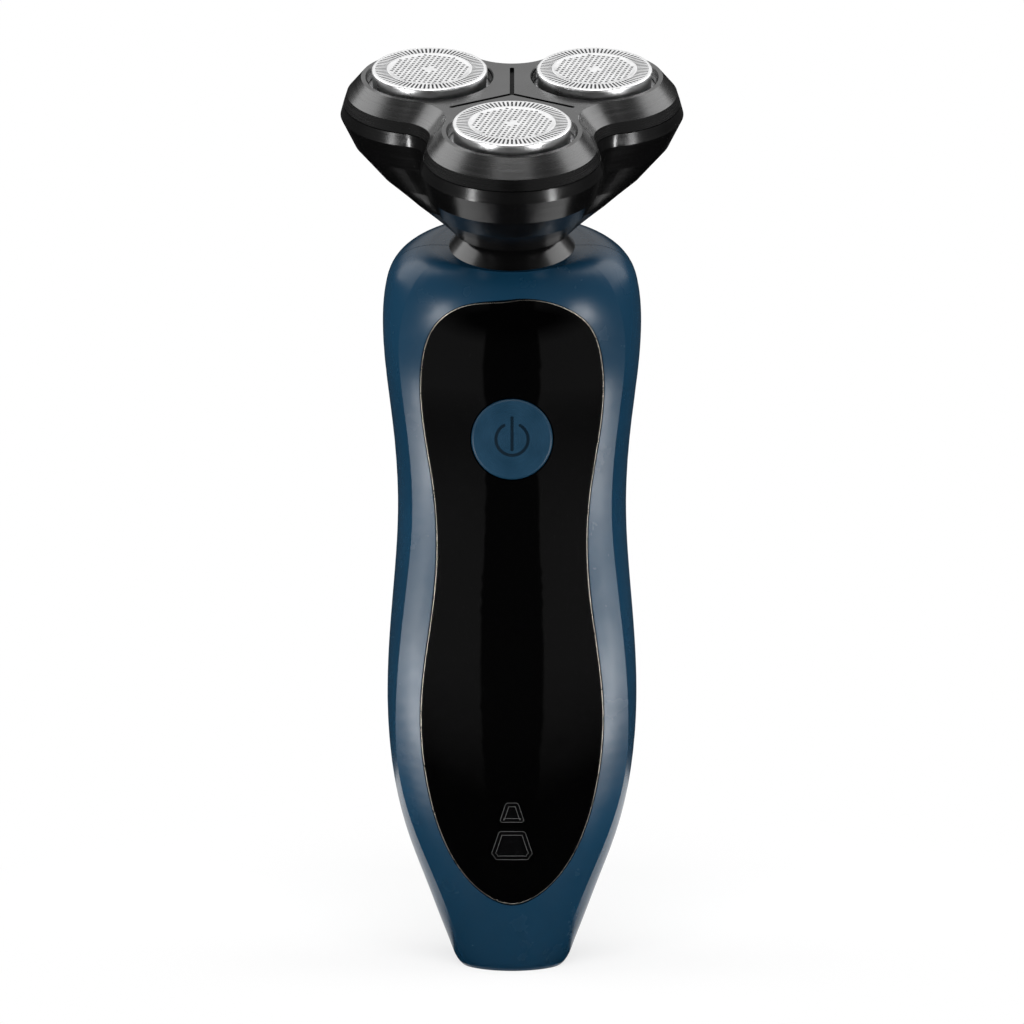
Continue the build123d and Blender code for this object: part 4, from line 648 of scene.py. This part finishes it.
def sign_mesh(name):
    """Flat strokes on the button's face, a hair proud so that they cover it, painted darker as the
    engraving's shade.
    """
    vertices = []
    faces = []
    for path in sign_paths():
        outline = stroke_outline(path)
        start = len(vertices)
        count = len(outline)
        for depth in (-SIGN_LIFT, SIGN_SINK):
            for point in outline:
                vertices.append((BUTTON_CENTRE.x + point.x, BUTTON_FACE + depth, BUTTON_CENTRE.z + point.y))
        faces.append([start + i for i in range(count)])
        faces.append([start + count + i for i in reversed(range(count))])
        for i in range(count):
            after = (i + 1) % count
            faces.append([start + i, start + after, start + count + after, start + count + i])
    return mesh_from(name, vertices, faces)


# painted shade: the sign's strokes are a darker blue for the shade in the engraving
sign_painted_shade = moulded("sign_painted_shade", shade(BUTTON_BLUE, SIGN_PAINTED_SHADE), 0.3, relief=0.1)
new_piece("power_sign", sign_mesh("power_sign"), sign_painted_shade, "button")


# Thin lines round the panel and its windows, on the rims of the CAD faces
PANEL_LINE_RADIUS = 0.1 * MM
PANEL_LINE_SHIFT = 0.12 * MM
PANEL_LINE_SINK = 0.08 * MM
WINDOW_LINE_RADIUS = 0.07 * MM
WINDOW_LINE_SHIFTS = {"outer": -0.1 * MM, "inner": -0.8 * MM}
WINDOW_LINE_SINK = 0.04 * MM
BEAD_SIDES = 8
FRONT_FACING = -0.7


def loop_length(loop):
    """Way round a loop of points."""
    return sum((after[0] - before[0]).length for before, after in zip(loop, loop[1:]))


def front_outline(name):
    """Rim of a CAD node's front face as points in order, each with the way the face looks there."""
    obj = nodes[name]
    shell = bmesh.new()
    shell.from_mesh(obj.data)
    shell.transform(obj.matrix_world)
    shell.normal_update()
    open_edges = [edge for edge in shell.edges if edge.is_boundary]
    rim_edges = [edge for edge in open_edges if edge.link_faces[0].normal.y < FRONT_FACING]
    neighbours = {}
    for edge in rim_edges:
        one, other = edge.verts
        neighbours.setdefault(one, []).append(other)
        neighbours.setdefault(other, []).append(one)
    loops = []
    while neighbours:
        vert = next(iter(neighbours))
        loop = []
        while vert is not None:
            loop.append((vert.co.copy(), vert.normal.copy()))
            onward = [other for other in neighbours.pop(vert) if other in neighbours]
            vert = onward[0] if onward else None
        loops.append(loop)
    shell.free()
    return max(loops, key=loop_length)


def bead_mesh(name, loop, radius, shift, sink):
    """Thin round bead along a loop, shifted outwards on the face and sunk into it."""
    count = len(loop)
    middle = sum((point for point, _ in loop), Vector()) / count
    sides = []
    for index, (point, normal) in enumerate(loop):
        along = loop[(index + 1) % count][0] - loop[index - 1][0]
        sides.append(along.cross(normal).normalized())
    outward = sum((point - middle).dot(side) for (point, _), side in zip(loop, sides))
    turn = 1 if outward > 0 else -1
    vertices = []
    faces = []
    for index, ((point, normal), side) in enumerate(zip(loop, sides)):
        centre = point + side * (turn * shift) - normal * sink
        ring = index * BEAD_SIDES
        following = (index + 1) % count * BEAD_SIDES
        for step in range(BEAD_SIDES):
            angle = 2 * pi * step / BEAD_SIDES
            vertices.append(centre + side * (radius * cos(angle)) + normal * (radius * sin(angle)))
            after = (step + 1) % BEAD_SIDES
            faces.append((ring + step, following + step, following + after, ring + after))
    return mesh_from(name, vertices, faces)


def add_line(name, line_mesh, material):
    """Thin line as a smooth piece of the handle."""
    smooth(new_piece(name, line_mesh, material, "handle"), BEAD_SHARP_ANGLE)


line_metal = metal("panel_line", (0.55, 0.51, 0.45), 0.3, grain=500.0)
line_grey = moulded("window_line", (0.05, 0.05, 0.05), 0.3)
outline = front_outline("front_panel")
line = bead_mesh("panel_line", outline, PANEL_LINE_RADIUS, PANEL_LINE_SHIFT, PANEL_LINE_SINK)
add_line("panel_line", line, line_metal)
for window in ("upper_indicator_lens", "lower_indicator_lens"):
    outline = front_outline(window)
    for edge, shift in WINDOW_LINE_SHIFTS.items():
        label = f"{window}_{edge}_line"
        line = bead_mesh(label, outline, WINDOW_LINE_RADIUS, shift, WINDOW_LINE_SINK)
        add_line(label, line, line_grey)


# Studio floor: pale, white from a distance on, with a card in front that is black in reflections only
FLOOR_CENTRE = Vector((0, 0.05, 0))
FLOOR_RADIUS = 0.12
FLOOR_STEPS = 96
FLOOR_PALE = (0.9, 0.9, 0.9, 1)
SHADOW_NEAR = 0.04
SHADOW_FAR = 0.11
FLOOR_LIFT = 0.65
CARD_LIFT = 0.5 * MM
CARD_HALF = 0.2
CARD_FRONT = -0.1
CARD_BACK = 0.005


def seen_directly(tree):
    """1 for rays that show the background: from the camera, and mirrored or refracted ones."""
    rays = tree.nodes.new("ShaderNodeLightPath").outputs
    mirrored = combine(tree, "MAXIMUM", rays["Is Glossy Ray"], rays["Is Transmission Ray"])
    return combine(tree, "MAXIMUM", rays["Is Camera Ray"], mirrored)


def blend_surface(tree, share, one, other):
    """Surface of a material that goes from one shader to another with a share."""
    blend = tree.nodes.new("ShaderNodeMixShader")
    tree.links.new(share, blend.inputs["Fac"])
    tree.links.new(one, blend.inputs[1])
    tree.links.new(other, blend.inputs[2])
    tree.links.new(blend.outputs["Shader"], tree.nodes["Material Output"].inputs["Surface"])


def floor_white():
    """Pale floor that keeps the shadow near the object and runs out into the white background."""
    material, tree, shader = new_material("floor_white")
    shader.inputs["Base Color"].default_value = FLOOR_PALE
    shader.inputs["Roughness"].default_value = 1.0
    shader.inputs["Specular IOR Level"].default_value = 0.0
    distance = vector_math(tree, "DISTANCE", object_coordinates(tree), (0, 0, 0))
    far = map_value(tree, distance, SHADOW_NEAR, SHADOW_FAR, FLOOR_LIFT, 1.0)
    share = combine(tree, "MULTIPLY", seen_directly(tree), far)
    white = tree.nodes.new("ShaderNodeEmission")
    blend_surface(tree, share, shader.outputs["BSDF"], white.outputs["Emission"])
    return material


def reflected_black():
    """Black in reflections only."""
    material, tree, shader = new_material("reflected_black")
    shader.inputs["Base Color"].default_value = (0, 0, 0, 1)
    shader.inputs["Specular IOR Level"].default_value = 0.0
    rays = tree.nodes.new("ShaderNodeLightPath").outputs
    clear = tree.nodes.new("ShaderNodeBsdfTransparent")
    blend_surface(tree, rays["Is Glossy Ray"], clear.outputs["BSDF"], shader.outputs["BSDF"])
    return material


floor_ring = [point.to_3d() for point in ring_points(FLOOR_RADIUS, FLOOR_STEPS)]
floor = add_object("floor", mesh_from("floor", floor_ring, [range(FLOOR_STEPS)]))
floor.location = FLOOR_CENTRE
floor.data.materials.append(floor_white())

card_corners = [
    (-CARD_HALF, CARD_FRONT, CARD_LIFT),
    (CARD_HALF, CARD_FRONT, CARD_LIFT),
    (CARD_HALF, CARD_BACK, CARD_LIFT),
    (-CARD_HALF, CARD_BACK, CARD_LIFT),
]
card = add_object("front_card", mesh_from("front_card", card_corners, [range(len(card_corners))]))
card.data.materials.append(reflected_black())


# Studio lights: two soft boxes low in front, two broad lights over the shoulders and one above in front
LIGHT_AIM = Vector((0, 0, 0.085))
SOFT_BOX_AZIMUTH = radians(50.0)
SOFT_BOX_DISTANCE = 0.8
SOFT_BOX_HEIGHT = -0.165
SOFT_BOX_SIZE = (0.11, 0.38)
SOFT_BOX_POWER = 3.6
SHOULDER_ASIDE = 0.6
SHOULDER_BACK = 0.1
SHOULDER_HEIGHT = 0.57
SHOULDER_SIZE = (0.6, 0.6)
SHOULDER_POWER = 2.4
TOP_PLACE = (0, -0.55, 0.9)
TOP_SIZE = (0.6, 0.4)
TOP_POWER = 4.5


def area_light(name, place, size, power):
    """Soft light at a place, turned to the middle of the handle."""
    light = bpy.data.lights.new(name, "AREA")
    light.shape = "RECTANGLE"
    light.size, light.size_y = size
    light.energy = power
    obj = add_object(name, light)
    obj.location = place
    obj.rotation_euler = (LIGHT_AIM - Vector(place)).to_track_quat("-Z", "Y").to_euler()
    return obj


# The soft boxes light the handle's bevels; the panel, the head cover and what it hides are flagged off
FLAGGED_NODES = ["front_panel", "head_cover", "retaining_frame", "lock_knob"]
FLAGGED_NODES += [f"{part}_{lobe}" for part in ("cutter_hub", "inner_cutter") for lobe in LOBES]
flagged = bpy.data.collections.new("flagged_from_soft_boxes")
for piece in [nodes[name] for name in FLAGGED_NODES] + cap_flanges:
    flagged.objects.link(piece)
for entry in flagged.collection_objects:
    entry.light_linking.link_state = "EXCLUDE"

for side in (-1, 1):
    aside = side * SOFT_BOX_DISTANCE * sin(SOFT_BOX_AZIMUTH)
    ahead = -SOFT_BOX_DISTANCE * cos(SOFT_BOX_AZIMUTH)
    soft_box_place = (aside, ahead, SOFT_BOX_HEIGHT)
    soft_box = area_light(f"soft_box_{side}", soft_box_place, SOFT_BOX_SIZE, SOFT_BOX_POWER)
    soft_box.light_linking.receiver_collection = flagged
    shoulder_place = (side * SHOULDER_ASIDE, SHOULDER_BACK, SHOULDER_HEIGHT)
    area_light(f"shoulder_light_{side}", shoulder_place, SHOULDER_SIZE, SHOULDER_POWER)
area_light("top_light", TOP_PLACE, TOP_SIZE, TOP_POWER)


# World: levels, and the parts of a ray's direction between which one level goes over into the next
FILL_LEVEL = 0.5
SCREEN_LEVEL = 0.14
SCREEN_SHARE_BEHIND = 0.25
SLIT_LEVEL = 0.01
SLIT_EDGE = (0.25, 0.27)
SCREEN_FOOT = (-0.3, -0.1)
SCREEN_FRONT = (-0.2, 0.2)
WHITE_FOOT = (0.35, 0.65)
WHITE_FRONT = (-0.5, 0.0)


def studio_world():
    """White background; in reflections a dark slit in front between grey screens, white behind and above."""
    world = bpy.data.worlds.new("studio")
    world.use_nodes = True
    tree = world.node_tree
    source = tree.nodes.new("ShaderNodeTexCoord")
    split = tree.nodes.new("ShaderNodeSeparateXYZ")
    tree.links.new(source.outputs["Generated"], split.inputs["Vector"])
    axes = split.outputs
    beside = map_value(tree, combine(tree, "ABSOLUTE", axes["X"]), *SLIT_EDGE, SLIT_LEVEL, SCREEN_LEVEL)
    not_low = map_value(tree, axes["Z"], *SCREEN_FOOT, 0.0, 1.0)
    in_front = map_value(tree, axes["Y"], *SCREEN_FRONT, 1.0, SCREEN_SHARE_BEHIND)
    screens = combine(tree, "MULTIPLY", beside, combine(tree, "MULTIPLY", not_low, in_front))
    above = map_value(tree, axes["Z"], *WHITE_FOOT, 0.0, 1.0)
    behind = map_value(tree, axes["Y"], *WHITE_FRONT, 0.0, 1.0)
    studio = combine(tree, "MAXIMUM", screens, combine(tree, "MULTIPLY", above, behind))
    rays = tree.nodes.new("ShaderNodeLightPath").outputs
    mirrored = combine(tree, "MAXIMUM", rays["Is Glossy Ray"], rays["Is Transmission Ray"])
    level = FILL_LEVEL
    for share, value in ((mirrored, studio), (rays["Is Camera Ray"], 1.0)):
        mix = tree.nodes.new("ShaderNodeMix")
        tree.links.new(share, mix.inputs["Factor"])
        feed(tree, level, mix.inputs["A"])
        feed(tree, value, mix.inputs["B"])
        level = mix.outputs["Result"]
    background = tree.nodes["Background"]
    background.inputs["Color"].default_value = (1, 1, 1, 1)
    tree.links.new(level, background.inputs["Strength"])
    return world


bpy.context.scene.world = studio_world()


# Camera at the photograph's height and distance
VIEW_ELEVATION = radians(7.0)
VIEW_DISTANCE = 0.85
VIEW_CENTRE = Vector((0, 0, 0.084))
VIEW_WIDTH = 0.1864
camera_data = bpy.data.cameras.new("camera")
camera_data.angle = 2 * asin(VIEW_WIDTH / 2 / VIEW_DISTANCE)
camera_data.clip_start = 0.01
camera = add_object("camera", camera_data)
camera.location = VIEW_CENTRE + Vector((0, -cos(VIEW_ELEVATION), sin(VIEW_ELEVATION))) * VIEW_DISTANCE
camera.rotation_euler = (pi / 2 - VIEW_ELEVATION, 0, 0)
bpy.context.scene.camera = camera
bpy.context.scene.view_settings.view_transform = "Standard"
